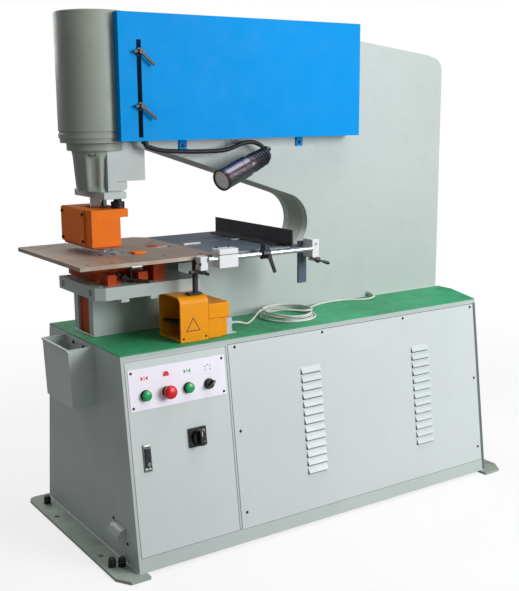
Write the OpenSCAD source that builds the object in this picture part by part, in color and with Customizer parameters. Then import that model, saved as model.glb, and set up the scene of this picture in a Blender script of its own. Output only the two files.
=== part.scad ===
// Hydraulic punching press: a deep C-frame with a ram cylinder, standing on a sheet-metal cabinet.
// +X runs along the throat towards the closed back of the frame, +Y is away from the operator, +Z is up.
// The origin is the middle of the foot rails on the floor.

/* [Cabinet] */
// Length of the cabinet along the throat
cab_l = 1500; // [1300:10:1700]
// Depth of the cabinet at the top
cab_top_d = 556; // [500:2:640]
// Depth of the cabinet at the bottom
cab_bottom_d = 728; // [680:2:800]
// Height of the working surface above the floor
deck_z = 677; // [620:1:740]
// Thickness of the end plates
end_t = 6; // [4:1:10]
// Thickness of the front and rear walls
wall_t = 6; // [5:1:8]
// Thickness of the steel worktop
worktop_t = 12; // [8:1:20]
// Thickness of the rubber mat
mat_t = 3; // [2:1:5]
// Overhang of the worktop past the right end
worktop_over = 78; // [60:1:100]
// Gap around the door and the panels
panel_gap = 2; // [1:0.5:4]
// Thickness of the door and panel sheets
panel_t = 3; // [2:0.5:4]

/* [Foot rails] */
// Thickness of the foot rails
foot_t = 10; // [8:1:16]
// Length of the foot rails across the cabinet
foot_d = 784; // [760:2:860]
// Reach of the left rail past the cabinet
foot_out_l = 72.5; // [60:0.5:100]
// Reach of the right rail past the cabinet
foot_out_r = 80; // [60:1:110]
// Width of a rail under the cabinet
foot_in = 24; // [16:1:60]
// Radius of the anchor holes
anchor_r = 9; // [6:0.5:12]
// Spacing of the anchor holes across the cabinet
anchor_y = 360; // [300:10:440]
// Distance of the anchor holes from the outer edge
anchor_in = 27; // [22:1:40]

/* [Door] */
// Width of the door
door_w = 361; // [320:1:400]
// Distance of the door from the left end
door_in = 5.5; // [4:0.5:20]
// Lower edge of the door above the floor
door_z0 = 57; // [50:1:90]
// Distance from the deck down to the top of the door
door_drop = 22; // [18:1:60]
// Width of the pillar between the door and the side panel
pillar_w = 11; // [8:1:30]
// Distance from the control plate to the free edge of the door
plate_side = 8; // [4:1:20]
// Height of the control plate
plate_h = 126; // [110:1:150]
// Distance between the push buttons
button_pitch = 74.5; // [64:0.5:76]
// Radius of the push button caps
button_r = 11; // [9:0.5:13]
// Radius of the emergency stop head
estop_r = 20; // [17:0.5:22]

/* [Frame] */
// Thickness of the whole C-frame
frame_w = 150; // [130:2:180]
// Thickness of each cheek plate
cheek_t = 32; // [20:1:40]
// Height of the top of the lower arm under the punch
arm_z = 822; // [790:1:840]
// Height of the lower arm at the throat
throat_z = 888; // [870:1:900]
// Radius of the throat's back
throat_r = 106; // [90:1:120]
// X of the throat circle's centre
throat_x = 54; // [20:1:80]
// Slope of the upper arm's lower edge in degrees
arm_slope = 18.4; // [15:0.1:20]
// Height of the top of the frame at the front
frame_top = 1643; // [1600:1:1660]
// X of the rear edge of the frame
frame_x1 = 820; // [780:1:830]
// Height of the underside of the head
head_z = 1174; // [1150:1:1200]
// Length of the head along X
head_l = 101; // [80:1:130]

/* [Cylinder] */
// X of the ram axis
ram_x = -634; // [-650:1:-620]
// Outer radius of the cylinder
barrel_r = 118; // [100:1:125]
// Bore radius of the cylinder
bore_r = 80; // [60:1:90]
// Top of the cylinder above the floor
barrel_z1 = 1700; // [1650:1:1740]
// Bottom of the cylinder above the floor
barrel_z0 = 1297; // [1260:1:1320]
// Radius of the ram rod
rod_r = 27; // [20:1:32]
// Radius of the punch
punch_r = 11; // [6:0.5:16]
// Radial clearance of the running fits
fit = 0.05; // [0.02:0.01:0.1]

/* [Tables] */
// Height of the top of the tables
table_z = 947; // [930:1:960]
// Thickness of the tables
table_t = 12; // [10:1:16]
// Depth of the punching table
table_d = 525; // [480:5:560]
// Length of the punching table
table_l = 471; // [430:1:480]
// Length of the gauge table
gauge_l = 292; // [260:1:300]
// Depth of the gauge table
gauge_d = 480; // [440:5:500]
// Height of the fence
fence_h = 56; // [45:1:70]
// Radius of the rail rod
rail_r = 9; // [7:0.5:12]
// Thickness of the bolster
bolster_t = 40; // [30:1:44]

/* [Cover] */
// Length of the blue cover
cover_l = 955; // [880:5:1000]
// Depth of the cover in front of the frame
cover_d = 73; // [60:1:90]
// Lower edge of the cover
cover_z0 = 1302; // [1290:1:1320]
// Upper edge of the cover
cover_z1 = 1694; // [1660:1:1720]
// Thickness of the cover sheet
cover_t = 2.5; // [2:0.5:4]
// Width of the stroke slot
slot_w = 16; // [12:1:20]

/* [Pedal] */
// Width of the pedal hood
pedal_w = 140; // [120:1:160]
// Height of the pedal hood
pedal_h = 145; // [125:1:160]
// Length of the pedal hood
hood_l = 103; // [90:1:120]
// Thickness of the pedal's walls
pedal_t = 5; // [4:0.5:7]
// Diameter of the pedal cord
cord_d = 7; // [6:0.5:9]

/* [Hidden] */
$fn = 64;
curved_gap = 0.3;
rail_shift = 10.25;
rail_x0 = rail_shift - (cab_l + foot_out_l + foot_out_r) / 2;
cab_x0 = rail_x0 + foot_out_l;
cab_x1 = cab_x0 + cab_l;
rail_x1 = cab_x1 + foot_out_r;
worktop_z = deck_z - mat_t - worktop_t;
lean = atan((cab_bottom_d - cab_top_d) / 2 / (deck_z - foot_t));
top_y = cab_top_d / 2;

function half_d(z) = top_y + (deck_z - z) * tan(lean);
function up_slope(z) = (z - foot_t) / cos(lean);

front_x0 = cab_x0 + end_t;
front_l = cab_l - 2 * end_t;
door_x0 = cab_x0 + door_in;
door_x1 = door_x0 + door_w;
panel_x0 = door_x1 + pillar_w;
panel_x1 = cab_x1 - 7.5;
panel_z1 = deck_z - 13;
rebate = 12;
door_z1 = deck_z - door_drop;
plate_x0 = door_x0 + 13;
plate_w = door_x1 - plate_side - plate_x0;
control_z = door_z1 - 87;
button_z = control_z - 20;
button_x = plate_x0 + plate_w / 2 - button_pitch / 2 - 5;
switch_x = door_x0 + 232;
switch_z = door_z1 - 265;
lock_x = door_x0 + 54;
lock_z = door_z1 - 297;

frame_cy = frame_w / 2;
cover_x0 = -615;
head_x0 = -600;
head_x1 = head_x0 + head_l;
arm_x0 = -702;
step_x = -385;
throat_cz = throat_z + throat_r;
web_t = 30;
barrel_cut_r = barrel_r + curved_gap;

flange_z0 = 1122;
flange_t = 22;
nose_z0 = flange_z0 + flange_t;
ring_t = 25;
guard_x0 = -713;
guard_l = 99;
guard_y0 = frame_cy - 118;
guard_d = 237;
guard_z0 = 974;
guard_h = 125;
guard_t = 6;
column_x = -601;
column_r = 13;
bolster_z = arm_z + bolster_t;
die_x = ram_x;
die_r = 34;
table_x0 = -rail_x1;
table_x1 = table_x0 + table_l;
table_y0 = -227;
gauge_x1 = table_x1 + gauge_l;
gauge_y0 = -215;
fence_x = gauge_x1 - 14;
fence_y0 = -245;
fence_l = 488;
rail_y = table_y0 - 33;
rail_z = table_z - 10;
gauge_slot_y = 15;

hood_x0 = -517;
hood_y0 = -244;
hood_x1 = hood_x0 + hood_l;
pedal_x1 = -303;
gland_y = -193;
gland_z = deck_z + 30;
coil_x = -14;
coil_y = -116;
coil_r = 88;
coil_layers = 4;
cord_r = cord_d / 2;
frame_gland = [456, 0, 689];

// Route of the lead from the pedal to the coil
lead_route = [
    [-290.7, -193, 707], [-276, -193, 706], [-256, -188, 701], [-237, -176, 694], [-219, -160, 687],
    [-201, -143, 682], [-183, -127, 680.5], [-164, -113, 681.5], [-146, -103, 688], [-130, -97, 698],
    [-116, -94, 706], [-102, -93, 710]
];
// Route of the lead from the coil to the frame
tail_route = [
    [84.2, -130, 680.5], [87, -113, 680.5], [93, -96, 680.5], [103, -80, 680.5], [118, -65, 680.5],
    [138, -51, 680.5], [162, -39, 680.5], [190, -27, 680.5], [220, -17, 680.5], [252, -11, 680.5],
    [286, -11, 680.5],
    [318, -17, 680.5], [348, -30, 680.5], [376, -45.5, 680.5], [388, -51, 680.5], [400, -54.8, 680.8],
    [412.5, -56.8, 681.5], [425, -57.3, 682.5], [436.9, -54.9, 684], [446.9, -48.2, 685.8],
    [453.6, -38.2, 687.6], [456, -26.3, 689]
];

// ---------- helpers ----------

// Local frame of the sloped front: x along the wall, z up the slope, -y outwards
module on_front() translate([0, -half_d(foot_t), foot_t]) rotate([-lean, 0, 0]) children();

// A box on the front, given by floor heights
module front_box(x0, x1, z0, z1, y0, y1) {
    on_front() translate([x0, y0, up_slope(z0)])
        cube([x1 - x0, y1 - y0, up_slope(z1) - up_slope(z0)]);
}

// A round bar standing out of the front from depth y0 to depth y1, with y1 below y0
module front_bar(x, z, y0, y1, r, r2 = -1) {
    on_front() translate([x, y0, up_slope(z)]) rotate([90, 0, 0])
        cylinder(r1 = r, r2 = r2 < 0 ? r : r2, h = y0 - y1);
}

// Extrudes a profile of Y and Z along X
module along_x(x0, l) translate([x0, 0, 0]) rotate([90, 0, 90]) linear_extrude(l) children();

// Extrudes a profile of X and Z along Y
module along_y(y0, l) translate([0, y0 + l, 0]) rotate([90, 0, 0]) linear_extrude(l) children();

// A plain box between two corners
module box(a, b) translate(a) cube(b - a);

// A ring about Z
module ring(x, y, z, h, r_out, r_in) {
    translate([x, y, z]) difference() {
        cylinder(r = r_out, h = h);
        translate([0, 0, -1]) cylinder(r = r_in, h = h + 2);
    }
}

// ---------- cord sweep ----------

function unit(v) = v / norm(v);
function tangent(p, i) = unit(p[min(i + 1, len(p) - 1)] - p[max(i - 1, 0)]);
function side_of(t) = unit(cross(t, abs(t[2]) > 0.99 ? [1, 0, 0] : [0, 0, 1]));
function cord_ring(p, i, r, n) =
    let (t = tangent(p, i), s = side_of(t), u = cross(s, t))
    [for (k = [0 : n - 1]) p[i] + r * (cos(360 * k / n) * s + sin(360 * k / n) * u)];

module swept_cord(p, r, n = 8) {
    points = [for (i = [0 : len(p) - 1]) each cord_ring(p, i, r, n)];
    walls = [for (i = [0 : len(p) - 2], k = [0 : n - 1])
        [i * n + k, i * n + (k + 1) % n, (i + 1) * n + (k + 1) % n, (i + 1) * n + k]];
    start_cap = [[for (k = [0 : n - 1]) n - 1 - k]];
    end_cap = [[for (k = [0 : n - 1]) (len(p) - 1) * n + k]];
    polyhedron(points, concat(start_cap, walls, end_cap), convexity = 6);
}

// ---------- cabinet ----------

// A rail's outline: a chamfered front corner and a rounded back corner on its outer side
module rail_outline(w) {
    hull() {
        translate([30, -foot_d / 2]) square([w - 30, foot_d]);
        translate([0, -foot_d / 2 + 49]) square([w, foot_d - 49 - 40]);
        translate([30, foot_d / 2 - 30]) circle(r = 30, $fn = 48);
    }
}

module foot_rail_left() color("darkseagreen") {
    difference() {
        translate([rail_x0, 0, 0]) linear_extrude(foot_t) rail_outline(foot_out_l + foot_in);
        for (s = [-1, 1])
            translate([rail_x0 + anchor_in, s * anchor_y / 2, -1]) cylinder(r = anchor_r, h = foot_t + 2);
    }
}

module foot_rail_right() color("darkseagreen") {
    difference() {
        translate([rail_x1, 0, 0]) mirror([1, 0, 0])
            linear_extrude(foot_t) rail_outline(foot_out_r + foot_in);
        for (s = [-1, 1])
            translate([rail_x1 - anchor_in, s * anchor_y / 2, -1]) cylinder(r = anchor_r, h = foot_t + 2);
    }
}

// Levelling bolts standing on the rails: a nut and a round head
module levelling_bolts() color("dimgray") {
    left = [[26, -266], [53, -280], [43, 310]];
    right = [[30, -286], [30, 300]];
    for (p = concat([for (q = left) [rail_x0 + q[0], q[1]]], [for (q = right) [rail_x1 - q[0], q[1]]]))
        translate([p[0], p[1], foot_t]) {
            cylinder(r = 13, h = 9, $fn = 6);
            translate([0, 0, 9]) cylinder(r = 8, h = 4);
            translate([0, 0, 13]) cylinder(r1 = 13, r2 = 10, h = 15);
        }
}

module floor_pan() color("darkseagreen") {
    y = half_d(foot_t) - wall_t / cos(lean) - 1;
    box([front_x0, -y, foot_t], [front_x0 + front_l, y, foot_t + 4]);
}

module sloped_wall() {
    w = wall_t / cos(lean);
    along_x(front_x0, front_l) polygon([
        [-half_d(foot_t), foot_t], [-half_d(foot_t) + w, foot_t],
        [-half_d(worktop_z) + w, worktop_z], [-half_d(worktop_z), worktop_z]
    ]);
}

// A rebated opening: the sheet lies in the rebate, flush with the wall
module rebated_opening(x0, x1, z0, z1) {
    g = panel_gap;
    front_box(x0 - g, x1 + g, z0 - g, z1 + g, -1, panel_t + curved_gap);
    front_box(x0 + rebate, x1 - rebate, z0 + rebate, z1 - rebate, -2, wall_t + 2);
}

module front_wall() color("darkseagreen") {
    difference() {
        sloped_wall();
        rebated_opening(door_x0 + end_t, door_x1, door_z0, door_z1);
        rebated_opening(panel_x0, panel_x1 - end_t, door_z0 - 2, panel_z1 - 6);
    }
}

module rear_wall() color("darkseagreen") {
    mirror([0, 1, 0]) difference() {
        sloped_wall();
        rebated_opening(panel_x0, panel_x1 - 40, door_z0 + 30, door_z1 - 20);
    }
}

module end_outline() {
    polygon([
        [-half_d(foot_t), foot_t], [half_d(foot_t), foot_t],
        [half_d(worktop_z), worktop_z], [-half_d(worktop_z), worktop_z]
    ]);
}

module end_plate_left() color("darkseagreen") along_x(cab_x0, end_t) end_outline();

// The right end plate carries two gussets under the worktop's overhang
module end_plate_right() color("darkseagreen") {
    along_x(cab_x1 - end_t, end_t) end_outline();
    for (y = [frame_cy - 62, frame_cy + 56]) along_y(y, 6)
        polygon([[cab_x1, worktop_z], [cab_x1 + worktop_over - 12, worktop_z], [cab_x1, worktop_z - 90]]);
}

// The worktop's outline widens past the right end, under the tail of the frame
module worktop_outline(inset) {
    x1 = cab_x1 + worktop_over - inset;
    polygon([
        [cab_x0, -top_y + inset], [cab_x1, -top_y + inset], [x1, frame_cy - 151],
        [x1, frame_cy + 151], [cab_x1, top_y - inset], [cab_x0, top_y - inset]
    ]);
}

module worktop() color("darkseagreen") {
    translate([0, 0, worktop_z]) linear_extrude(worktop_t) worktop_outline(0);
}

// The mat is cut out around the foot of the frame
module mat() color("seagreen") {
    translate([0, 0, deck_z - mat_t]) linear_extrude(mat_t) difference() {
        worktop_outline(1);
        translate([arm_x0 - 1, -1]) square([frame_x1 - arm_x0 + 40, frame_w + 2]);
    }
}

// ---------- door and controls ----------

module door() color("lightgray") {
    difference() {
        union() {
            front_box(door_x0 + end_t, door_x1, door_z0, door_z1, 0, panel_t);
            front_box(door_x0 + 20, door_x0 + 30, door_z0 + 30, door_z1 - 190, panel_t, panel_t + 14);
        }
        for (i = [-1 : 2])
            front_bar(button_x + i * button_pitch, button_z, panel_t + 1, -1, button_r + 3);
        front_bar(switch_x, switch_z, panel_t + 1, -1, 8);
        front_bar(lock_x, lock_z, panel_t + 1, -1, 9);
    }
}

module control_plate() color("lavender") {
    difference() {
        front_box(plate_x0, plate_x0 + plate_w, control_z - plate_h / 2, control_z + plate_h / 2, -1.5, 0);
        for (i = [-1 : 2])
            front_bar(button_x + i * button_pitch, button_z, 1, -2.5, button_r + 3);
    }
}

// Bezels with their contact blocks behind the door
module button_bezels() color("dimgray") {
    difference() {
        for (i = [-1 : 2]) {
            x = button_x + i * button_pitch;
            front_bar(x, button_z, -1.5, -6, button_r + 4);
            front_bar(x, button_z, panel_t + 20, -1.5, button_r + 3 - curved_gap);
            front_box(x - 14, x + 14, button_z - 20, button_z + 20, panel_t + 20, panel_t + 48);
        }
        for (i = [-1 : 2])
            front_bar(button_x + i * button_pitch, button_z, panel_t + 18, -8, button_r + fit);
    }
}

module push_cap(i) {
    front_bar(button_x + i * button_pitch, button_z, panel_t + 10, -9, button_r);
}

module start_button() color("green") push_cap(-1);
module return_button() color("green") push_cap(1);

module estop_button() color("red") {
    front_bar(button_x, button_z, panel_t + 10, -16, button_r);
    front_bar(button_x, button_z, -16, -30, estop_r);
    front_bar(button_x, button_z, -30, -36, estop_r, estop_r - 7);
}

module selector_knob() color("black") {
    x = button_x + 2 * button_pitch;
    front_bar(x, button_z, panel_t + 10, -10, button_r);
    front_box(x - 4, x + 4, button_z - 12, button_z + 12, -22, -10);
}

module switch_plate() color("black") {
    difference() {
        union() {
            front_box(switch_x - 30, switch_x + 30, switch_z - 30, switch_z + 30, -8, 0);
            front_bar(switch_x, switch_z, panel_t + 6, 0, 8 - curved_gap);
            front_box(switch_x - 24, switch_x + 24, switch_z - 26, switch_z + 26, panel_t + 6, panel_t + 52);
        }
        front_bar(switch_x, switch_z, panel_t + 30, -10, 5 + fit);
    }
}

module switch_knob() color("black") {
    front_bar(switch_x, switch_z, panel_t + 20, -8.4, 5);
    front_bar(switch_x, switch_z, -8.4, -20, 21);
    front_box(switch_x - 6, switch_x + 6, switch_z - 24, switch_z + 24, -36, -20);
}

module lock_body() color("silver") {
    difference() {
        union() {
            front_box(lock_x - 13, lock_x + 13, lock_z - 42, lock_z + 42, -4, 0);
            front_bar(lock_x, lock_z, panel_t + 12, 0, 9 - curved_gap);
        }
        front_bar(lock_x, lock_z, panel_t + 14, -6, 6 + fit);
    }
}

// A turning paddle with its shaft and an inner cam that stays inside the door's width
module lock_paddle() color("silver") {
    front_bar(lock_x, lock_z, panel_t + 16, -4.4, 6);
    front_box(lock_x - 9, lock_x + 9, lock_z - 30, lock_z + 30, -8, -4.4);
    front_box(lock_x - 8, lock_x + 8, lock_z - 8, lock_z + 20, panel_t + 12.4, panel_t + 16);
}

// ---------- panels ----------

module louvre(x, z) {
    on_front() translate([x, 0, up_slope(z)]) rotate([90, 0, 90]) linear_extrude(80)
        polygon([[0, 22], [-8, 3], [-8, 1], [-6.5, 1], [0, 17]]);
}

module side_panel() color("lightgray") {
    difference() {
        front_box(panel_x0, panel_x1 - end_t, door_z0 - 2, panel_z1 - 6, 0, panel_t);
        for (x = [panel_x0 + 279, panel_x0 + 780], i = [0 : 12])
            front_box(x + 2, x + 78, 179 + i * 28.5, 187 + i * 28.5, -1, panel_t + 1);
    }
    for (x = [panel_x0 + 279, panel_x0 + 780], i = [0 : 12])
        louvre(x, 178 + i * 28.5);
}

module screw_head(x, z) front_bar(x, z, 0, -3, 5, 3);

module panel_screws() color("dimgray") {
    for (x = [panel_x0 + 25, panel_x0 + 380, panel_x0 + 749, panel_x1 - 22]) screw_head(x, panel_z1 - 16);
    for (x = [panel_x0 + 22, panel_x1 - 22], z = [107, 375]) screw_head(x, z);
}

module rear_panel() color("lightgray") {
    mirror([0, 1, 0]) {
        front_box(panel_x0, panel_x1 - 40, door_z0 + 30, door_z1 - 20, 0, panel_t);
        for (i = [0 : 9]) louvre(panel_x0 + 200, 200 + i * 28.5);
    }
}

// An open bin for slugs and scrap, hung on the left end
module scrap_bin() color("lightgray") {
    t = 2.5;
    y0 = -83;
    y1 = 130;
    z0 = deck_z - 202;
    z1 = deck_z - 10;
    difference() {
        union() {
            along_y(y0, y1 - y0) polygon([
                [cab_x0, z0], [cab_x0, z1], [cab_x0 - 84, z1], [cab_x0 - 76, z0]
            ]);
            along_y(y0, y1 - y0) translate([cab_x0 - 84, z1 - 3]) circle(r = 4);
        }
        along_y(y0 + t, y1 - y0 - 2 * t) polygon([
            [cab_x0 - t, z0 + t], [cab_x0 - t, z1 + 3], [cab_x0 - 81.5, z1 + 3], [cab_x0 - 74, z0 + t]
        ]);
    }
    for (y = [-19, 60]) translate([cab_x0 - t - 3, y, z1 - 12]) rotate([0, 90, 0]) cylinder(r = 5, h = 3);
}

// A small curved hood over the cable entry at the bottom of the left end
module cable_hood() color("lightgray") {
    z = 98;
    difference() {
        translate([cab_x0, -200, z]) rotate([90, 0, 0]) cylinder(r = 28, h = 75);
        translate([cab_x0, -201, z]) rotate([90, 0, 0]) cylinder(r = 25, h = 72);
        box([cab_x0, -280, z - 40], [cab_x0 + 40, -190, z + 40]);
        box([cab_x0 - 40, -280, z - 40], [cab_x0 + 1, -190, z]);
    }
}

// ---------- C-frame ----------

// The side outline of the frame, without its throat
module frame_outline() {
    polygon([
        [arm_x0, deck_z - mat_t], [frame_x1, deck_z - mat_t], [frame_x1, frame_top - 102],
        [frame_x1 - 6, frame_top - 78], [frame_x1 - 26, frame_top - 58],
        [frame_corner_x, frame_top - 45], [frame_slope_x, frame_top], [head_x0, frame_top],
        [head_x0, throat_z], [arm_x0, throat_z]
    ]);
}

// The open space of the throat, from the head back to its round end
module throat_outline() {
    tx = throat_x + throat_r * sin(arm_slope);
    tz = throat_cz + throat_r * cos(arm_slope);
    translate([throat_x, throat_cz]) circle(r = throat_r, $fn = 96);
    polygon([
        [throat_x, throat_z], [tx, throat_cz], [tx, tz],
        [head_x1, tz + (tx - head_x1) * tan(arm_slope)], [head_x1, head_z],
        [head_x0 - 120, head_z], [head_x0 - 120, arm_z], [step_x, arm_z], [step_x, throat_z]
    ]);
}

frame_slope_x = 388;
frame_corner_x = 748;

// The band that closes the frame between the cheeks, along its top and its rounded rear corner
module top_band() {
    polygon([
        [ram_x + 80, frame_top - web_t], [frame_slope_x, frame_top - web_t],
        [frame_corner_x - 6, frame_top - 45 - web_t], [frame_x1 - web_t, frame_top - 112],
        [frame_x1, frame_top - 102], [frame_x1 - 6, frame_top - 78], [frame_x1 - 26, frame_top - 58],
        [frame_corner_x, frame_top - 45], [frame_slope_x, frame_top], [ram_x + 80, frame_top]
    ]);
}

module cheek(y0) {
    difference() {
        along_y(y0, cheek_t) difference() {
            frame_outline();
            throat_outline();
        }
        translate([ram_x, frame_cy, barrel_z0 - 1]) cylinder(r = barrel_cut_r, h = 500);
    }
}

// The front cheek carries the gland where the pedal's cord goes in
module cheek_front() color("lightgray") {
    cheek(0);
    translate(frame_gland) rotate([90, 0, 0]) cylinder(r1 = 11, r2 = 6, h = 26);
}

module cheek_rear() color("lightgray") cheek(frame_w - cheek_t);

// Plates between the cheeks, along the throat, the head, the arm and the back
module frame_web() color("gray") {
    w = frame_w - 2 * cheek_t;
    tx = throat_x + throat_r * sin(arm_slope);
    tz = throat_cz + throat_r * cos(arm_slope);
    rise = (tx - head_x1) * tan(arm_slope);
    difference() {
        along_y(cheek_t, w) {
            difference() {
                union() {
                    translate([throat_x, throat_cz]) circle(r = throat_r + web_t, $fn = 96);
                    polygon([[tx, tz], [tx, tz + web_t], [head_x1, tz + rise + web_t], [head_x1, tz + rise]]);
                    translate([step_x, throat_z - web_t]) square([throat_x - step_x, web_t]);
                    top_band();
                }
                throat_outline();
            }
            translate([arm_x0 + 20, arm_z - web_t]) square([step_x - arm_x0 - 20, web_t]);
            translate([step_x, arm_z - web_t]) square([web_t, throat_z - arm_z]);
            translate([head_x0, head_z]) square([head_l, web_t]);
            translate([head_x1 - web_t, head_z + web_t]) square([web_t, 180]);
            translate([frame_x1 - web_t, deck_z - mat_t]) square([web_t, frame_top - 110 - deck_z]);
        }
        translate([ram_x, frame_cy, barrel_z0 - 1]) cylinder(r = barrel_cut_r, h = 500);
    }
}

// The painted plate that closes the slug slot in the end of the lower arm
module slug_chute() color("orangered") {
    g = 0.5;
    z = deck_z - mat_t;
    box([arm_x0 + 8, cheek_t + g, z], [arm_x0 + 14, frame_w - cheek_t - g, arm_z - web_t - g]);
    box([arm_x0 + 14, cheek_t + g, z], [arm_x0 + 60, cheek_t + g + 4, arm_z - web_t - g]);
}

// ---------- cylinder and ram ----------

rod_seat_z = barrel_z0 + 200;

module barrel() color("gray") {
    translate([ram_x, frame_cy, 0]) difference() {
        union() {
            translate([0, 0, barrel_z0 + 36]) cylinder(r = barrel_r, h = barrel_z1 - barrel_z0 - 36);
            translate([0, 0, barrel_z0 + 30]) cylinder(r = barrel_r - 2, h = 6);
            translate([0, 0, barrel_z0 + 14]) cylinder(r = barrel_r, h = 16);
            translate([0, 0, barrel_z0]) cylinder(r = barrel_r - 4, h = 14);
        }
        translate([0, 0, barrel_z0 + 60]) cylinder(r = bore_r, h = barrel_z1 - barrel_z0 - 100);
        translate([0, 0, barrel_z0 - 1]) cylinder(r = rod_r + fit, h = 80);
    }
}

// The nose: a ring, a tapering casting, a web to the head and the flange of the guard
module nose_casting() color("gray") {
    top = barrel_z0;
    difference() {
        union() {
            translate([ram_x, frame_cy, top - ring_t]) cylinder(r = 94, h = ring_t);
            translate([ram_x, frame_cy, nose_z0 + 30])
                cylinder(r1 = 71, r2 = 78, h = top - ring_t - nose_z0 - 30);
            translate([ram_x, frame_cy, nose_z0]) cylinder(r1 = 56, r2 = 71, h = 30);
            box([ram_x - 33, guard_y0, flange_z0], [ram_x + 45, frame_w + 40, nose_z0]);
            along_y(guard_y0 + 20, frame_w + 30) polygon([
                [ram_x, nose_z0 - 1], [ram_x + 40, nose_z0 - 1], [ram_x + 56, head_z - 4],
                [ram_x + 56, top - ring_t - 12], [ram_x, top - ring_t - 12]
            ]);
        }
        translate([ram_x, frame_cy, flange_z0 - 1]) cylinder(r = rod_r + fit, h = top - flange_z0 + 2);
        box([head_x0 - curved_gap, -frame_w, head_z - curved_gap], [head_x1, 2 * frame_w, top + 1]);
        for (y = [frame_cy - 75, frame_cy + 75])
            translate([column_x, y, flange_z0 - 1]) cylinder(r = column_r + curved_gap, h = 9);
    }
}

// The piston with its rod
module piston_rod() color("silver") {
    bottom = guard_z0 + guard_h - 12;
    translate([ram_x, frame_cy, barrel_z1 - 140]) cylinder(r = bore_r - fit, h = 60);
    translate([ram_x, frame_cy, bottom]) cylinder(r = rod_r, h = barrel_z1 - 140 - bottom);
}

module coupling_nut() color("dimgray") {
    bottom = guard_z0 + guard_h - 12;
    translate([ram_x, frame_cy, bottom - 46]) cylinder(r = 38, h = 46);
}

// The punch: a body and a round tip that enters the die
module punch() color("silver") {
    top = guard_z0 + guard_h - 58;
    tip_z = guard_z0 + 11;
    translate([ram_x, frame_cy, tip_z + 22]) cylinder(r = 20, h = top - tip_z - 22);
    translate([ram_x, frame_cy, tip_z]) cylinder(r = punch_r, h = 22);
}

// Two columns that carry the guard from the nose's flange
module guide_columns() color("dimgray") {
    for (y = [frame_cy - 75, frame_cy + 75]) translate([column_x, y, guard_z0 + guard_h - 9]) {
        cylinder(r = column_r, h = flange_z0 + 7 - guard_z0 - guard_h + 9);
        cylinder(r = 22, h = 20);
    }
}

// The stripper guard: a box open towards the throat, with a top plate that reaches to the columns
module punch_guard() color("darkorange") {
    x1 = guard_x0 + guard_l;
    y1 = guard_y0 + guard_d;
    top = guard_z0 + guard_h;
    difference() {
        union() {
            box([guard_x0, guard_y0, guard_z0], [x1, y1, top - 9]);
            box([guard_x0 + 20, guard_y0 + 1, top - 35], [x1 + 28, y1 - 1, top - 9]);
        }
        box([guard_x0 - 1, guard_y0 + 60, guard_z0 + 12], [guard_x0 + guard_t, y1 - guard_t, top - 44]);
        box([guard_x0 + guard_t, guard_y0 + guard_t, guard_z0 + 8], [x1 - guard_t, y1 - guard_t, top - 35]);
        box([guard_x0 + 20, guard_y0 + guard_t + 14, guard_z0 + 8], [x1 + 1, y1 - guard_t - 14, top - 35]);
        translate([ram_x, frame_cy, guard_z0 - 1]) cylinder(r = 23, h = 12);
        translate([ram_x, frame_cy, top - 36]) cylinder(r = 42, h = 40);
    }
}

// The guard's screwed cover plate on its left side
module guard_plate() color("darkorange") {
    y0 = guard_y0 + 52;
    y1 = guard_y0 + guard_d - 1;
    box([guard_x0 - 4, y0, guard_z0 + 4], [guard_x0, y1, guard_z0 + guard_h - 12]);
    for (y = [y0 + 10, y1 - 12], z = [guard_z0 + 14, guard_z0 + guard_h - 24])
        translate([guard_x0 - 7, y, z]) rotate([0, 90, 0]) cylinder(r = 5, h = 3);
}

// ---------- die and bolster ----------

module bolster() color("lightgray") {
    difference() {
        translate([0, 0, arm_z]) linear_extrude(bolster_t) polygon([
            [-722, -148], [step_x - 1, -148], [step_x - 1, 153], [-750, 153], [-750, -128]
        ]);
        translate([die_x, frame_cy, arm_z - 1]) cylinder(r = die_r - 10, h = bolster_t + 2);
        for (x = [-720, step_x - 30], y = [-120, 130])
            translate([x, y, bolster_z - 12]) cylinder(r = 9, h = 13);
    }
}

module die_holder() color("orangered") {
    difference() {
        box([die_x - 72, frame_cy - 100, bolster_z], [die_x + 60, frame_cy + 100, table_z - 22]);
        translate([die_x, frame_cy, bolster_z - 1]) cylinder(r = die_r - 10, h = table_z);
        translate([die_x, frame_cy, table_z - 50]) cylinder(r = die_r + fit, h = 60);
    }
}

module die() color("silver") {
    ring(die_x, frame_cy, table_z - 50, 50, die_r, punch_r + 0.4);
}

// Orange die clamps on the bolster, with their black clamp screws
module clamp_blocks() color("orangered") {
    for (c = [[-702, 30], [-596, 32]])
        box([c[0], -122, bolster_z], [c[0] + c[1], -62, bolster_z + 34]);
    box([-540, -118, bolster_z], [-500, -40, table_z - table_t - 2]);
    for (x = [-660, -560]) translate([x, -100, bolster_z]) cylinder(r = 9, h = 26);
}

// ---------- tables ----------

module punching_table() color("gray") {
    y1 = table_y0 + table_d;
    difference() {
        translate([0, 0, table_z - table_t]) linear_extrude(table_t) polygon([
            [table_x0, table_y0], [table_x1 - 1, table_y0], [table_x1 - 1, y1 - 40],
            [table_x1 - 40, y1], [table_x0 + 10, y1], [table_x0, y1 - 10]
        ]);
        box([die_x - 62, guard_y0 - 14, table_z - 20], [die_x + 42, guard_y0 + guard_d - 20, table_z + 1]);
        box([table_x1 - 92, 4, table_z - 20], [table_x1 - 40, 26, table_z + 1]);
    }
    for (y = [frame_cy - 36, frame_cy + 24])
        box([step_x - 60, y, bolster_z], [step_x - 44, y + 12, table_z - table_t]);
}

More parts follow.
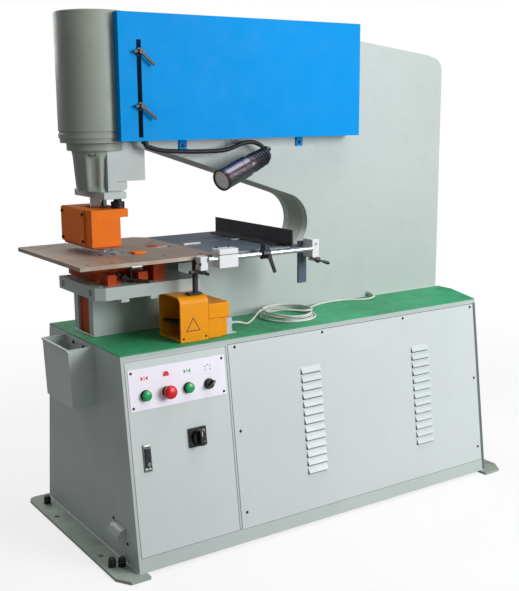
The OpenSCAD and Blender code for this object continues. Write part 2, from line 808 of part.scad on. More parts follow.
module gauge_table() color("midnightblue") {
    y1 = gauge_y0 + gauge_d;
    difference() {
        box([table_x1, gauge_y0, table_z - table_t], [gauge_x1, y1, table_z - 0.5]);
        for (y = [gauge_slot_y, gauge_slot_y + 90])
            box([table_x1 + 14, y, table_z - 20], [gauge_x1 - 40, y + 14, table_z + 1]);
    }
    for (x = [table_x1 + 20, gauge_x1 - 60])
        box([x, 10, throat_z], [x + 30, frame_w - 10, table_z - table_t]);
}

// The light block in the front slot of the gauge table
module slot_block() color("white") {
    y = gauge_slot_y + 1;
    box([table_x1 + 15, y, table_z - table_t], [table_x1 + 79, y + 12, table_z + 3]);
}

// The back fence: an angle that stands on the gauge table and slides along X
module fence() color("black") {
    box([fence_x, fence_y0, table_z], [fence_x + 5, fence_y0 + fence_l, table_z + fence_h]);
    box([fence_x - 40, fence_y0 + 60, table_z], [fence_x, fence_y0 + fence_l - 30, table_z + 5]);
}

rail_bar_x0 = table_x1 - 56.5;
rail_bar_l = 408;
rail_end_x = rail_bar_x0 + rail_bar_l;

module rail_rods() color("silver") {
    block_x = table_x1 - 22.5;
    translate([rail_bar_x0, rail_y, rail_z]) rotate([0, 90, 0]) cylinder(r = rail_r, h = rail_bar_l);
    box([block_x + 70, gauge_y0 - 6, table_z - 9], [gauge_x1 - 4, gauge_y0, table_z - 2]);
    translate([block_x, rail_y - 15, rail_z - 30]) difference() {
        cube([70, 48, 60]);
        translate([-1, 15, 30]) rotate([0, 90, 0]) cylinder(r = rail_r + 0.01, h = 80);
        translate([-1, -1, 42]) cube([80, 40, 2]);
    }
}

// The end brackets of the rail, with the black posts below them
module rail_brackets() color("whitesmoke") {
    x0 = rail_bar_x0 - 28;
    box([x0, rail_y, rail_z - 34], [rail_bar_x0, table_y0, table_z]);
    box([rail_end_x, rail_y, rail_z - 34], [rail_end_x + 30, gauge_y0 + 10, table_z + 20]);
    box([x0 - 2, table_y0 + 2, deck_z + pedal_h + 2], [x0 + 12, table_y0 + 18, table_z - table_t]);
    box([x0, table_y0, rail_z - 34], [x0 + 12, table_y0 + 2, table_z - table_t - 1]);
    box([rail_end_x - 16, gauge_y0 + 10, 812], [rail_end_x + 18, gauge_y0 + 20, table_z + 10]);
    box([gauge_x1, gauge_y0 + 10, table_z - table_t], [rail_end_x - 16, gauge_y0 + 40, table_z - 1]);
}

rail_clamp_x = rail_end_x - 192;

// The split clamp that slides on the rail
module rail_clamp() color("black") {
    difference() {
        union() {
            translate([rail_clamp_x - 14, rail_y, rail_z]) rotate([0, 90, 0]) cylinder(r = 17, h = 28);
            box([rail_clamp_x - 8, rail_y - 12, rail_z + 12], [rail_clamp_x + 8, rail_y + 12, rail_z + 30]);
        }
        translate([rail_clamp_x - 20, rail_y, rail_z]) rotate([0, 90, 0]) cylinder(r = rail_r + fit, h = 40);
        translate([rail_clamp_x, rail_y - 10, rail_z - 8]) rotate([90, 0, 0]) cylinder(r = 4 + fit, h = 20);
    }
}

// The hanging lever of the rail clamp
module clamp_lever() color("black") {
    translate([rail_clamp_x, rail_y - 12.5, rail_z - 8]) rotate([90, 0, 0]) cylinder(r = 4, h = 16);
    translate([rail_clamp_x, rail_y - 20, rail_z - 8]) rotate([90, 0, 0]) cylinder(r = 8, h = 10);
    along_y(rail_y - 29, 8) polygon([
        [rail_clamp_x - 5, rail_z - 8], [rail_clamp_x + 7, rail_z - 8],
        [rail_clamp_x + 26, rail_z - 58], [rail_clamp_x + 18, rail_z - 62]
    ]);
}

// ---------- cover ----------

cover_x1 = cover_x0 + cover_l;
slot_x = cover_x0 + 69;
slot_z0 = cover_z0 + 11;
slot_z1 = cover_z1 - 82;

module cover() color("dodgerblue") {
    t = cover_t;
    difference() {
        box([cover_x0, -cover_d, cover_z0], [cover_x1, -0.5, cover_z1]);
        box([cover_x0 + t, -cover_d + t, cover_z0 + t], [cover_x1 - t, 1, cover_z1 - t]);
        box([slot_x - slot_w / 2, -cover_d - 1, slot_z0], [slot_x + slot_w / 2, -cover_d + t + 1, slot_z1]);
        translate([ram_x, frame_cy, cover_z0 - 1]) cylinder(r = barrel_r + 1.5, h = 500);
    }
    for (x = [-372, 106]) box([x, -6, cover_z0 - 34], [x + 28, -0.5, cover_z0 + t]);
}

// A stroke stop: a square shank in the slot, a washer, a knob stub and a lever
module stroke_stop(z) {
    y = -cover_d;
    box([slot_x - slot_w / 2 + 1, y - 1, z - 9], [slot_x + slot_w / 2 - 1, y + 12, z + 9]);
    translate([slot_x, y - 0.4, z]) rotate([90, 0, 0]) cylinder(r = 12, h = 6);
    translate([slot_x, y - 6, z]) rotate([90, 0, 0]) cylinder(r = 8, h = 16);
    translate([slot_x, y - 16, z]) rotate([0, 40, 0]) translate([0, -4, -4]) cube([62, 8, 8]);
    translate([slot_x - 22, y - 16, z - 4]) cube([20, 8, 8]);
}

module upper_stop() color("black") stroke_stop(1575);
module lower_stop() color("black") stroke_stop(1410);

// ---------- lamp ----------

lamp_pivot = [-52, -46, 1262];
goose_r = 8;
// Bend points of the gooseneck
goose_route = [
    [-517, -40, 1301.7], [-517, -40, 1292], [-508, -42, 1283], [-476, -45, 1273], [-445, -46, 1268],
    [-400, -46, 1265], [-355, -46, 1263], [-310, -46, 1262], [-270, -46, 1262], [-235, -46, 1263],
    [-205, -46, 1267], [-178, -46, 1275], [-153, -46, 1284], [-127, -46, 1288], [-102, -46, 1286],
    [-80, -46, 1278], [-69, -46, 1270.6], [-61.1, -46, 1265.7]
];

// The gooseneck ends in an eye that holds the lamp's pivot
module gooseneck() color("dimgray") {
    swept_cord(goose_route, goose_r, 10);
    translate(lamp_pivot) rotate([90, 0, 0]) difference() {
        translate([0, 0, -5]) cylinder(r = 10, h = 10);
        translate([0, 0, -6]) cylinder(r = 4 + fit, h = 12);
    }
}

// The lamp head: a barrel along its beam, a rear housing and the pivot pin
module lamp_head() color("dimgray") {
    beam = [-228, -59, -77.5];
    tilt = acos(beam[2] / norm(beam));
    turn = atan2(beam[1], beam[0]);
    translate(lamp_pivot + [-8, -23, -15]) rotate([0, tilt, turn]) {
        translate([0, 0, -10]) cylinder(r = 12, h = 14);
        translate([0, 0, 2]) cylinder(r = 24, h = 48);
        translate([0, 0, 50]) cylinder(r1 = 24, r2 = 31, h = 70);
        translate([0, 0, 120]) cylinder(r = 36, h = 128);
    }
    translate(lamp_pivot + [0, 8, 0]) rotate([90, 0, 0]) cylinder(r = 4, h = 24);
    translate(lamp_pivot + [0, -8.4, 0]) rotate([90, 0, 0]) cylinder(r = 9, h = 9.6);
}

// ---------- pedal ----------

module pedal_body() color("orange") {
    y1 = hood_y0 + pedal_w;
    z1 = deck_z + pedal_h;
    t = pedal_t;
    difference() {
        along_x(hood_x0, hood_l) polygon([
            [hood_y0, deck_z], [y1, deck_z], [y1, z1 - 16], [y1 - 16, z1], [hood_y0 + 16, z1],
            [hood_y0, z1 - 16]
        ]);
        along_x(hood_x0 - 1, hood_l - t + 1) polygon([
            [hood_y0 + t, deck_z + 8], [y1 - t, deck_z + 8], [y1 - t, z1 - 18], [y1 - 18, z1 - t],
            [hood_y0 + 18, z1 - t], [hood_y0 + t, z1 - 18]
        ]);
        translate([hood_x1 - 30, hood_y0 - 1, deck_z + 40]) rotate([-90, 0, 0])
            cylinder(r = 5 + fit, h = pedal_w + 2);
    }
    box([hood_x1, hood_y0, deck_z + 64], [hood_x1 + 80, y1, deck_z + 114]);
    box([hood_x1, hood_y0 + 2, deck_z], [hood_x1 + 50, y1 - 2, deck_z + 64]);
    box([hood_x1 + 50, hood_y0 + 10, deck_z], [pedal_x1 - 34, y1 - 10, deck_z + 60]);
    box([pedal_x1 - 34, hood_y0 + 24, deck_z], [pedal_x1 - 4, y1 - 24, deck_z + 52]);
    box([pedal_x1 - 34, hood_y0 + 20, deck_z], [pedal_x1 + 6, y1 - 20, deck_z + 6]);
    translate([pedal_x1 - 4, gland_y, gland_z]) rotate([0, 90, 0]) cylinder(r1 = 10, r2 = 5, h = 16);
}

module treadle() color("dimgray") {
    x1 = hood_x1 - 30;
    translate([x1, hood_y0 + 0.5, deck_z + 40]) rotate([-90, 0, 0]) cylinder(r = 5, h = pedal_w - 1);
    along_y(hood_y0 + pedal_t + 6, pedal_w - 2 * pedal_t - 12) polygon([
        [x1 + 4, deck_z + 36], [x1 + 4, deck_z + 44], [hood_x0 + 8, deck_z + 58], [hood_x0 + 8, deck_z + 50]
    ]);
}

module cord_lead() color("lightgray") {
    swept_cord(lead_route, cord_r);
    swept_cord(tail_route, cord_r);
}

module cord_coil() color("lightgray") {
    translate([coil_x, coil_y, deck_z]) rotate_extrude()
        translate([coil_r - cord_d, 0]) square([2 * cord_d, coil_layers * cord_d]);
}

// ---------- inside the cabinet ----------

// Oil tank with its motor and pump
module power_pack() color("slategray") {
    z = foot_t + 4;
    difference() {
        box([60, -190, z], [460, 190, z + 250]);
        box([64, -186, z + 4], [456, 186, z + 246]);
    }
    translate([160, 0, z + 340]) rotate([0, 90, 0]) cylinder(r = 85, h = 230);
    translate([110, 0, z + 340]) rotate([0, 90, 0]) cylinder(r = 45, h = 50);
    box([200, -60, z + 250], [350, 60, z + 290]);
    box([100, -150, z + 250], [150, -90, z + 330]);
}

foot_rail_left();
foot_rail_right();
levelling_bolts();
floor_pan();
front_wall();
rear_wall();
end_plate_left();
end_plate_right();
worktop();
mat();
door();
control_plate();
button_bezels();
start_button();
return_button();
estop_button();
selector_knob();
switch_plate();
switch_knob();
lock_body();
lock_paddle();
side_panel();
panel_screws();
rear_panel();
scrap_bin();
cable_hood();
cheek_front();
cheek_rear();
frame_web();
slug_chute();
barrel();
nose_casting();
piston_rod();
coupling_nut();
punch();
guide_columns();
punch_guard();
guard_plate();
bolster();
die_holder();
die();
clamp_blocks();
punching_table();
gauge_table();
slot_block();
fence();
rail_rods();
rail_brackets();
rail_clamp();
clamp_lever();
cover();
upper_stop();
lower_stop();
gooseneck();
lamp_head();
pedal_body();
treadle();
cord_lead();
cord_coil();
power_pack();
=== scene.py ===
import math

import bmesh
import bpy
from mathutils import Matrix, Vector


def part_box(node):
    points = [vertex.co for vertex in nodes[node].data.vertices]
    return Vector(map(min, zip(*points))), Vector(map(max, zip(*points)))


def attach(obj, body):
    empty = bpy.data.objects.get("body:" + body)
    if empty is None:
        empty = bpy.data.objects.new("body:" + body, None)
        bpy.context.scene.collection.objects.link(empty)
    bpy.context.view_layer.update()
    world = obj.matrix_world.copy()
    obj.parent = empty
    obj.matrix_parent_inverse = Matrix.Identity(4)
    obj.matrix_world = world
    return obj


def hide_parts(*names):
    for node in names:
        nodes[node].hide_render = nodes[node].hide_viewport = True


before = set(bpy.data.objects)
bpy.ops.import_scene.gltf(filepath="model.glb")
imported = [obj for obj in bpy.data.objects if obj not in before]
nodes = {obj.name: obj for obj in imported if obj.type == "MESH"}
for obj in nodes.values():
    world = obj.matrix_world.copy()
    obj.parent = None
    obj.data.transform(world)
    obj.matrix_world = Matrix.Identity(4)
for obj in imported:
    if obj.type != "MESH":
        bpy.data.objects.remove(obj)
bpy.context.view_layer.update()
scene = bpy.context.scene
print("frame loaded")


# Camera and light

view = {"spot": (-1.920, -2.777, 1.401), "turn": 33.9, "pitch": -11.2, "roll": -0.4, "lens": 57.6}


def makeCamera():
    cam = bpy.data.cameras.new("studioCamera")
    cam.lens = view["lens"]
    cam.sensor_width = 36
    cam.sensor_fit = "AUTO"
    ob = bpy.data.objects.new("studioCamera", cam)
    scene.collection.objects.link(ob)
    turn, pitch, roll = (math.radians(view[k]) for k in ("turn", "pitch", "roll"))
    aim = Matrix.Rotation(-turn, 4, "Z") @ Matrix.Rotation(math.pi / 2 + pitch, 4, "X")
    ob.matrix_world = Matrix.Translation(view["spot"]) @ aim @ Matrix.Rotation(roll, 4, "Z")
    scene.camera = ob


lights = {
    "key": {"spot": (1.8, -3.9, 2.1), "aim": (0.1, 0, 0.8), "size": 2.2, "power": 185},
    "top": {"spot": (0.5, -0.8, 4.2), "aim": (0, 0, 0.6), "size": 2.4, "power": 55},
    "rear": {"spot": (-1.0, 4.2, 3.2), "aim": (0, 0, 0.8), "size": 3.0, "power": 110},
}
worldLight = {"strength": 0.21, "backdrop": 1.0}


def makeLights():
    for name, one in lights.items():
        lamp = bpy.data.lights.new(name, "AREA")
        lamp.size = one["size"]
        lamp.energy = one["power"]
        ob = bpy.data.objects.new(name, lamp)
        ob.location = one["spot"]
        ob.rotation_euler = (Vector(one["aim"]) - Vector(one["spot"])).to_track_quat("-Z", "Y").to_euler()
        scene.collection.objects.link(ob)
    world = bpy.data.worlds.new("studio")
    world.use_nodes = True
    tree = world.node_tree
    glow = tree.nodes["Background"]
    glow.inputs[1].default_value = worldLight["strength"]
    backdrop = tree.nodes.new("ShaderNodeBackground")
    backdrop.inputs[0].default_value = (1, 1, 1, 1)
    backdrop.inputs[1].default_value = worldLight["backdrop"]
    glow.inputs[0].default_value = (1, 1, 1, 1)
    ray = tree.nodes.new("ShaderNodeLightPath")
    blend = tree.nodes.new("ShaderNodeMixShader")
    tree.links.new(ray.outputs["Is Camera Ray"], blend.inputs[0])
    tree.links.new(glow.outputs[0], blend.inputs[1])
    tree.links.new(backdrop.outputs[0], blend.inputs[2])
    tree.links.new(blend.outputs[0], tree.nodes["World Output"].inputs[0])
    scene.world = world
    scene.view_settings.view_transform = "Standard"


makeCamera()
makeLights()
print("camera and light set")


# Node helpers for materials

class Graph:

    def __init__(self, name):
        self.mat = bpy.data.materials.new(name)
        self.mat.use_nodes = True
        self.tree = self.mat.node_tree
        self.shader = self.tree.nodes["Principled BSDF"]
        self.place = self.tree.nodes.new("ShaderNodeTexCoord")

    def add(self, kind, **inputs):
        node = self.tree.nodes.new("ShaderNode" + kind)
        for key, value in inputs.items():
            node.inputs[key.replace("_", " ")].default_value = value
        return node

    def link(self, a, b):
        self.tree.links.new(a, b)

    def noise(self, scale, detail=3.0, rough=0.5, stretch=None):
        node = self.add("TexNoise", Scale=scale, Detail=detail, Roughness=rough)
        if stretch:
            bend = self.add("Mapping", Scale=stretch)
            self.link(self.place.outputs["Object"], bend.inputs["Vector"])
            self.link(bend.outputs["Vector"], node.inputs["Vector"])
        else:
            self.link(self.place.outputs["Object"], node.inputs["Vector"])
        return node.outputs["Fac"]

    def ramp(self, fac, low, high, a=0.35, b=0.65):
        node = self.tree.nodes.new("ShaderNodeValToRGB")
        node.color_ramp.elements[0].position = a
        node.color_ramp.elements[1].position = b
        node.color_ramp.elements[0].color = low if len(low) == 4 else (*low, 1)
        node.color_ramp.elements[1].color = high if len(high) == 4 else (*high, 1)
        self.link(fac, node.inputs[0])
        return node.outputs[0]

    def mix(self, fac, a, b):
        node = self.tree.nodes.new("ShaderNodeMix")
        node.data_type = "RGBA"
        for value, socket in ((fac, node.inputs[0]), (a, node.inputs[6]), (b, node.inputs[7])):
            if isinstance(value, bpy.types.NodeSocket):
                self.link(value, socket)
            else:
                socket.default_value = value
        return node.outputs[2]

    def span(self, fac, low, high, a=0.3, b=0.7):
        node = self.add("MapRange")
        node.inputs[1].default_value = a
        node.inputs[2].default_value = b
        node.inputs[3].default_value = low
        node.inputs[4].default_value = high
        self.link(fac, node.inputs[0])
        return node.outputs[0]

    def bump(self, height, strength, distance=0.001, after=None):
        node = self.add("Bump", Strength=strength, Distance=distance)
        self.link(height, node.inputs["Height"])
        if after:
            self.link(after, node.inputs["Normal"])
        return node.outputs[0]


def rgb(code):
    parts = [int(code[i:i + 2], 16) / 255 for i in (0, 2, 4)]
    return tuple(c / 12.92 if c <= 0.04045 else ((c + 0.055) / 1.055) ** 2.4 for c in parts)


def paint(name, colour, rough=0.38, tone=0.06, dirt=None, dirtAmount=0.25, peel=0.12, coat=0.25, gloss=0.35):
    g = Graph(name)
    light = tuple(min(1, c * (1 + tone)) for c in colour)
    dark = tuple(c * (1 - tone) for c in colour)
    base = g.ramp(g.noise(2.2, 4), dark, light)
    if dirt:
        smudge = g.ramp(g.noise(9, 6, 0.62), (0, 0, 0), (dirtAmount,) * 3, 0.52, 0.78)
        base = g.mix(smudge, base, (*dirt, 1))
    g.link(base, g.shader.inputs["Base Color"])
    g.link(g.span(g.noise(14, 4), rough - 0.06, rough + 0.1), g.shader.inputs["Roughness"])
    g.link(g.bump(g.noise(520, 2), peel, 0.0004), g.shader.inputs["Normal"])
    g.shader.inputs["Coat Weight"].default_value = coat
    g.shader.inputs["Coat Roughness"].default_value = 0.15
    g.shader.inputs["Specular IOR Level"].default_value = gloss
    return g.mat


def steel(name, colour, rough=0.3, brush=(1, 60, 1), stain=None, bumpiness=0.12, metal=1.0):
    g = Graph(name)
    lines = g.noise(22, 5, 0.6, brush)
    base = g.ramp(lines, tuple(c * 0.86 for c in colour), tuple(min(1, c * 1.1) for c in colour), 0.3, 0.7)
    if stain:
        mask = g.ramp(g.noise(7, 6, 0.65), (0, 0, 0), (0.75,) * 3, 0.42, 0.68)
        base = g.mix(mask, base, (*stain, 1))
    g.link(base, g.shader.inputs["Base Color"])
    g.link(g.span(lines, rough - 0.06, rough + 0.14), g.shader.inputs["Roughness"])
    g.link(g.bump(lines, bumpiness, 0.0004), g.shader.inputs["Normal"])
    g.shader.inputs["Metallic"].default_value = metal
    return g.mat


def plastic(name, colour, rough=0.35, grain=0.1, fine=900):
    g = Graph(name)
    base = g.ramp(g.noise(30, 3), tuple(c * 0.9 for c in colour), tuple(min(1, c * 1.08) for c in colour))
    g.link(base, g.shader.inputs["Base Color"])
    g.link(g.span(g.noise(60, 3), rough - 0.05, rough + 0.1), g.shader.inputs["Roughness"])
    g.link(g.bump(g.noise(fine, 2), grain, 0.0003), g.shader.inputs["Normal"])
    return g.mat


def matRubber():
    g = Graph("greenMat")
    base = g.ramp(g.noise(5, 5), rgb("248a58"), rgb("34a572"))
    dust = g.ramp(g.noise(24, 6, 0.7), (0, 0, 0), (0.35,) * 3, 0.5, 0.8)
    base = g.mix(dust, base, (*rgb("7dbf9f"), 1))
    g.link(base, g.shader.inputs["Base Color"])
    cells = g.add("TexVoronoi", Scale=260.0)
    g.link(g.place.outputs["Object"], cells.inputs["Vector"])
    g.link(g.span(cells.outputs["Distance"], 0.45, 0.62, 0.0, 0.7), g.shader.inputs["Roughness"])
    g.link(g.bump(cells.outputs["Distance"], 0.25, 0.0006), g.shader.inputs["Normal"])
    return g.mat


paints = {
    "body": paint("bodyEnamel", rgb("b2bcba"), 0.4, 0.03, rgb("8d938a"), 0.2, 0.12, 0.12),
    "casting": paint("castingEnamel", rgb("979f95"), 0.46, 0.05, rgb("72776e"), 0.3, 0.3, 0.1),
    "panel": paint("panelEnamel", rgb("c1cac9"), 0.38, 0.025, rgb("a6aaa2"), 0.12, 0.08, 0.15),
    "rail": paint("railEnamel", rgb("9aa59b"), 0.5, 0.06, rgb("5f5a50"), 0.6),
    "cover": paint("blueEnamel", (0.0, 0.27, 0.70), 0.5, 0.03, (0.01, 0.32, 0.74), 0.12, 0.08, 0.0, 0.06),
    "orange": paint("orangeEnamel", (0.80, 0.165, 0.0), 0.42, 0.05, rgb("a8420a"), 0.3, 0.15, 0.04, 0.15),
    # A darker copy of the orange paint: painted shade for orange parts that sit in shadow
    "shadedOrange": paint("shadedOrangeEnamel", (0.48, 0.060, 0.006), 0.45, 0.08, rgb("6e2c10"), 0.5, 0.2, 0.04, 0.15),
    "amber": paint("amberEnamel", (0.80, 0.300, 0.004), 0.42, 0.04, rgb("c97806"), 0.25, 0.12, 0.04, 0.15),
    "control": paint("controlPlateEnamel", rgb("e9e6f2"), 0.3, 0.02, rgb("c9c6d2"), 0.12, 0.05),
    "white": paint("paleZinc", rgb("dcdde0"), 0.35, 0.04, rgb("9a9a98"), 0.3),
    "blackSteel": paint("blackOxide", rgb("1c1f26"), 0.42, 0.15, rgb("4a4642"), 0.35, 0.2, 0.1),
    "darkTable": paint("darkTableEnamel", rgb("4d5b6a"), 0.34, 0.12, rgb("8a9496"), 0.45, 0.2, 0.2),
    "machine": paint("machineGrey", rgb("5a646a"), 0.5, 0.08, rgb("33383a"), 0.4),
    "tableSteel": steel("groundPlate", rgb("a99b90"), 0.4, (30, 1, 1), rgb("8a7868"), 0.12, 0.45),
    "bright": steel("brightSteel", rgb("cfd2d6"), 0.16, (1, 1, 40)),
    "dieSteel": steel("diePlate", rgb("c4cad0"), 0.34, (30, 1, 1), None, 0.12, 0.6),
    "gunmetal": steel("gunmetal", rgb("7d7680"), 0.22, (1, 1, 40)),
    "lampBlack": paint("lampBlackEnamel", rgb("23212a"), 0.3, 0.1, rgb("4a4652"), 0.3, 0.1, 0.4),
    "zinc": steel("dullZinc", rgb("9aa39f"), 0.34, (1, 30, 1), rgb("5c625e")),
    "lens": plastic("frostedLens", rgb("eef3ef"), 0.12, 0.25, 300),
    "black": plastic("blackPlastic", rgb("17181b"), 0.32),
    "rubber": plastic("blackRubber", rgb("1b1b1d"), 0.55, 0.2),
    "green": plastic("greenPlastic", rgb("0f9a52"), 0.25),
    "red": plastic("redPlastic", rgb("cf1420"), 0.25),
    "grey": plastic("greyPlastic", rgb("b3bac6"), 0.4),
    "jacket": plastic("cordJacket", rgb("c9ccc6"), 0.42, 0.15, 1500),
    "ink": plastic("blackInk", rgb("141416"), 0.5),
    "greenInk": plastic("greenInk", rgb("1d9b56"), 0.5),
    "redInk": plastic("redInk", rgb("c5152a"), 0.5),
    "mat": matRubber(),
}
print("materials made")


# Mesh helpers

def addPiece(name, mesh, material, body, smooth=40):
    ob = bpy.data.objects.new(name, mesh)
    scene.collection.objects.link(ob)
    ob.data.materials.append(paints[material])
    if smooth:
        mesh.polygons.foreach_set("use_smooth", [True] * len(mesh.polygons))
        mesh.set_sharp_from_angle(angle=math.radians(smooth))
    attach(ob, body)
    return ob


def fromBmesh(name, bm, material, body, smooth=40, bevel=0.0, steps=2):
    bmesh.ops.recalc_face_normals(bm, faces=bm.faces)
    mesh = bpy.data.meshes.new(name)
    bm.to_mesh(mesh)
    bm.free()
    ob = addPiece(name, mesh, material, body, smooth)
    if bevel:
        soften(ob, bevel, steps)
    return ob


def soften(ob, width, steps=2, angle=35):
    mod = ob.modifiers.new("edges", "BEVEL")
    mod.width = width
    mod.segments = steps
    mod.limit_method = "ANGLE"
    mod.angle_limit = math.radians(angle)
    return mod


def boxInto(bm, low, high, move=None):
    low, high = Vector(low), Vector(high)
    made = bmesh.ops.create_cube(bm, size=1)
    size = high - low
    place = Matrix.Translation((low + high) / 2) @ Matrix.Diagonal((*size, 1))
    bmesh.ops.transform(bm, matrix=(move or Matrix()) @ place, verts=made["verts"])
    return made["verts"]


def skin(bm, *rings):
    for a, b in zip(rings, rings[1:]):
        for k in range(len(a)):
            n = (k + 1) % len(a)
            bm.faces.new((a[k], a[n], b[n], b[k]))


def boxPiece(name, material, body, slotName, bevel, *spans, smooth=30, steps=2):
    bm = bmesh.new()
    for low, high in spans:
        boxInto(bm, low, high)
    return fromBmesh(name, bm, material, body, smooth, bevel, steps)


def lathe(bm, profile, move=None, steps=48):
    rings = []
    for r, h in profile:
        if r < 1e-7:
            rings.append([bm.verts.new((0, 0, h))])
            continue
        rings.append([
            bm.verts.new((r * math.cos(2 * math.pi * k / steps), r * math.sin(2 * math.pi * k / steps), h))
            for k in range(steps)
        ])
    for a, b in zip(rings, rings[1:]):
        for k in range(steps):
            n = (k + 1) % steps
            if len(a) == 1 and len(b) > 1:
                bm.faces.new((a[0], b[k], b[n]))
            elif len(b) == 1 and len(a) > 1:
                bm.faces.new((a[k], a[n], b[0]))
            elif len(a) > 1:
                bm.faces.new((a[k], a[n], b[n], b[k]))
    verts = [v for ring in rings for v in ring]
    if move:
        bmesh.ops.transform(bm, matrix=move, verts=verts)
    return verts


def along(spot, way):
    return Matrix.Translation(spot) @ Vector(way).to_track_quat("Z", "Y").to_matrix().to_4x4()


def extrude(bm, outline, depth, move=None):
    low = [bm.verts.new((x, y, 0)) for x, y in outline]
    high = [bm.verts.new((x, y, depth)) for x, y in outline]
    bm.faces.new(low[::-1])
    bm.faces.new(high)
    skin(bm, low, high)
    if move:
        bmesh.ops.transform(bm, matrix=move, verts=low + high)
    return low + high


def arc(cx, cy, r, start, stop, steps):
    angles = [math.radians(start + (stop - start) * i / steps) for i in range(steps + 1)]
    return [(cx + r * math.cos(a), cy + r * math.sin(a)) for a in angles]


def roundedBox(w, h, r, steps=5):
    points = []
    for cx, cy, start in ((1, 1, 0), (-1, 1, 90), (-1, -1, 180), (1, -1, 270)):
        points += arc(cx * (w / 2 - r), cy * (h / 2 - r), r, start, start + 90, steps)
    return points


def smoothPath(points, per=8):
    pts = [Vector(p) for p in points]
    ends = [2 * pts[0] - pts[1]] + pts + [2 * pts[-1] - pts[-2]]
    out = []
    for i in range(1, len(ends) - 2):
        a, b, c, d = ends[i - 1:i + 3]
        for k in range(per):
            t = k / per
            out.append(0.5 * ((2 * b) + (c - a) * t + (2 * a - 5 * b + 4 * c - d) * t * t
                              + (3 * b - a - 3 * c + d) * t ** 3))
    return out + [pts[-1]]


def pipe(name, points, radius, material, body, sides=6):
    curve = bpy.data.curves.new(name, "CURVE")
    curve.dimensions = "3D"
    curve.bevel_depth = radius
    curve.bevel_resolution = sides
    curve.use_fill_caps = True
    line = curve.splines.new("POLY")
    line.points.add(len(points) - 1)
    for spot, point in zip(points, line.points):
        point.co = (*spot, 1)
    curve.materials.append(paints[material])
    ob = bpy.data.objects.new(name, curve)
    scene.collection.objects.link(ob)
    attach(ob, body)
    return ob


def screwInto(bm, spot, way, radius=0.005, height=0.003, steps=20):
    lathe(bm, [(radius, 0), (radius, height * 0.45), (radius * 0.8, height * 0.85), (radius * 0.42, height),
               (radius * 0.36, height * 0.45), (0, height * 0.4)], along(spot, way), steps)


def hexInto(bm, spot, way, radius=0.006, height=0.005):
    move = along(spot, way)
    lathe(bm, [(radius * 1.3, 0), (radius * 1.3, height * 0.2), (0, height * 0.2)], move, 24)
    extrude(bm, arc(0, 0, radius, 0, 300, 5), height, move)


# The cabinet's sloped front: a place on it has x along it, y up the slope and z out of it
front = {"z": 0.010, "y": -0.364, "lean": math.atan(0.086 / 0.667)}
lean = front["lean"]
frontWay = Vector((0, -math.cos(lean), math.sin(lean)))
frontUp = Vector((0, math.sin(lean), math.cos(lean)))


def frontSpot(x, z, out=0.0):
    up = (z - front["z"]) / math.cos(lean)
    return Vector((x, front["y"], front["z"])) + frontUp * up + frontWay * out


def frontPlace(x, z, out=0.0):
    turn = Matrix((Vector((1, 0, 0)), frontUp, frontWay)).transposed().to_4x4()
    return Matrix.Translation(frontSpot(x, z, out)) @ turn


def dress(material, *names, bevel=0.0, steps=2, angle=35):
    for name in names:
        ob = nodes[name]
        ob.data.materials.clear()
        ob.data.materials.append(paints[material])
        if bevel:
            soften(ob, bevel, steps, angle)


# The pedal's cord

cordFacts = {
    "diameter": 0.007, "turns": 4, "coilSpot": (-0.014, -0.116), "coilRadius": 0.088, "mat": 0.6805,
    "pitch": 0.00721, "perTurn": 40,
    # Shares of a turn: where it drops to the next, and where the last one leaves the pile
    "drop": (0.62, 0.20), "leave": (0.78, 0.40), "leaveRadius": 0.0992,
}
leadRoute = [
    (-0.2907, -0.193, 0.707), (-0.276, -0.193, 0.706), (-0.256, -0.188, 0.701), (-0.237, -0.176, 0.694),
    (-0.219, -0.160, 0.687), (-0.201, -0.143, 0.682), (-0.183, -0.127, 0.6805), (-0.164, -0.113, 0.6815),
    (-0.146, -0.103, 0.688), (-0.130, -0.097, 0.698), (-0.116, -0.094, 0.706), (-0.102, -0.093, 0.710),
]
# Over the pile and across its inside
joinRoute = [
    (-0.0875, -0.0953, 0.7115), (-0.0750, -0.1022, 0.7110), (-0.0625, -0.1115, 0.7100), (-0.0500, -0.1210, 0.7087),
    (-0.0381, -0.1292, 0.7074), (-0.0263, -0.1367, 0.7062), (-0.0144, -0.1441, 0.7051), (-0.0025, -0.1515, 0.7041),
    (0.0094, -0.1590, 0.7033),
]
# A wide bend that meets the top turn from its inside
joinBend = {"radius": 0.031, "from": -122, "to": -25, "steps": 5, "lift": 0.0006}
tailRoute = [
    (0.0842, -0.130, 0.6805), (0.087, -0.113, 0.6805), (0.093, -0.096, 0.6805), (0.103, -0.080, 0.6805),
    (0.118, -0.065, 0.6805), (0.138, -0.051, 0.6805), (0.162, -0.039, 0.6805), (0.190, -0.027, 0.6805),
    (0.220, -0.017, 0.6805), (0.252, -0.011, 0.6805), (0.286, -0.011, 0.6805), (0.318, -0.017, 0.6805),
    (0.348, -0.030, 0.6805), (0.376, -0.0455, 0.6805), (0.388, -0.051, 0.6805),
    (0.400, -0.0548, 0.6808), (0.4125, -0.0568, 0.6815), (0.425, -0.0573, 0.6825), (0.4369, -0.0549, 0.684),
    (0.4469, -0.0482, 0.6858), (0.4536, -0.0382, 0.6876), (0.456, -0.0263, 0.689),
]
# Each turn's own drift: centre x, centre y and radius, from the top turn down
turnDrift = [(0, 0, 0), (-0.005, 0.003, 0.003), (0.004, 0.004, -0.004), (0, -0.001, 0)]


def ease(t):
    t = min(1.0, max(0.0, t))
    return t * t * (3 - 2 * t)


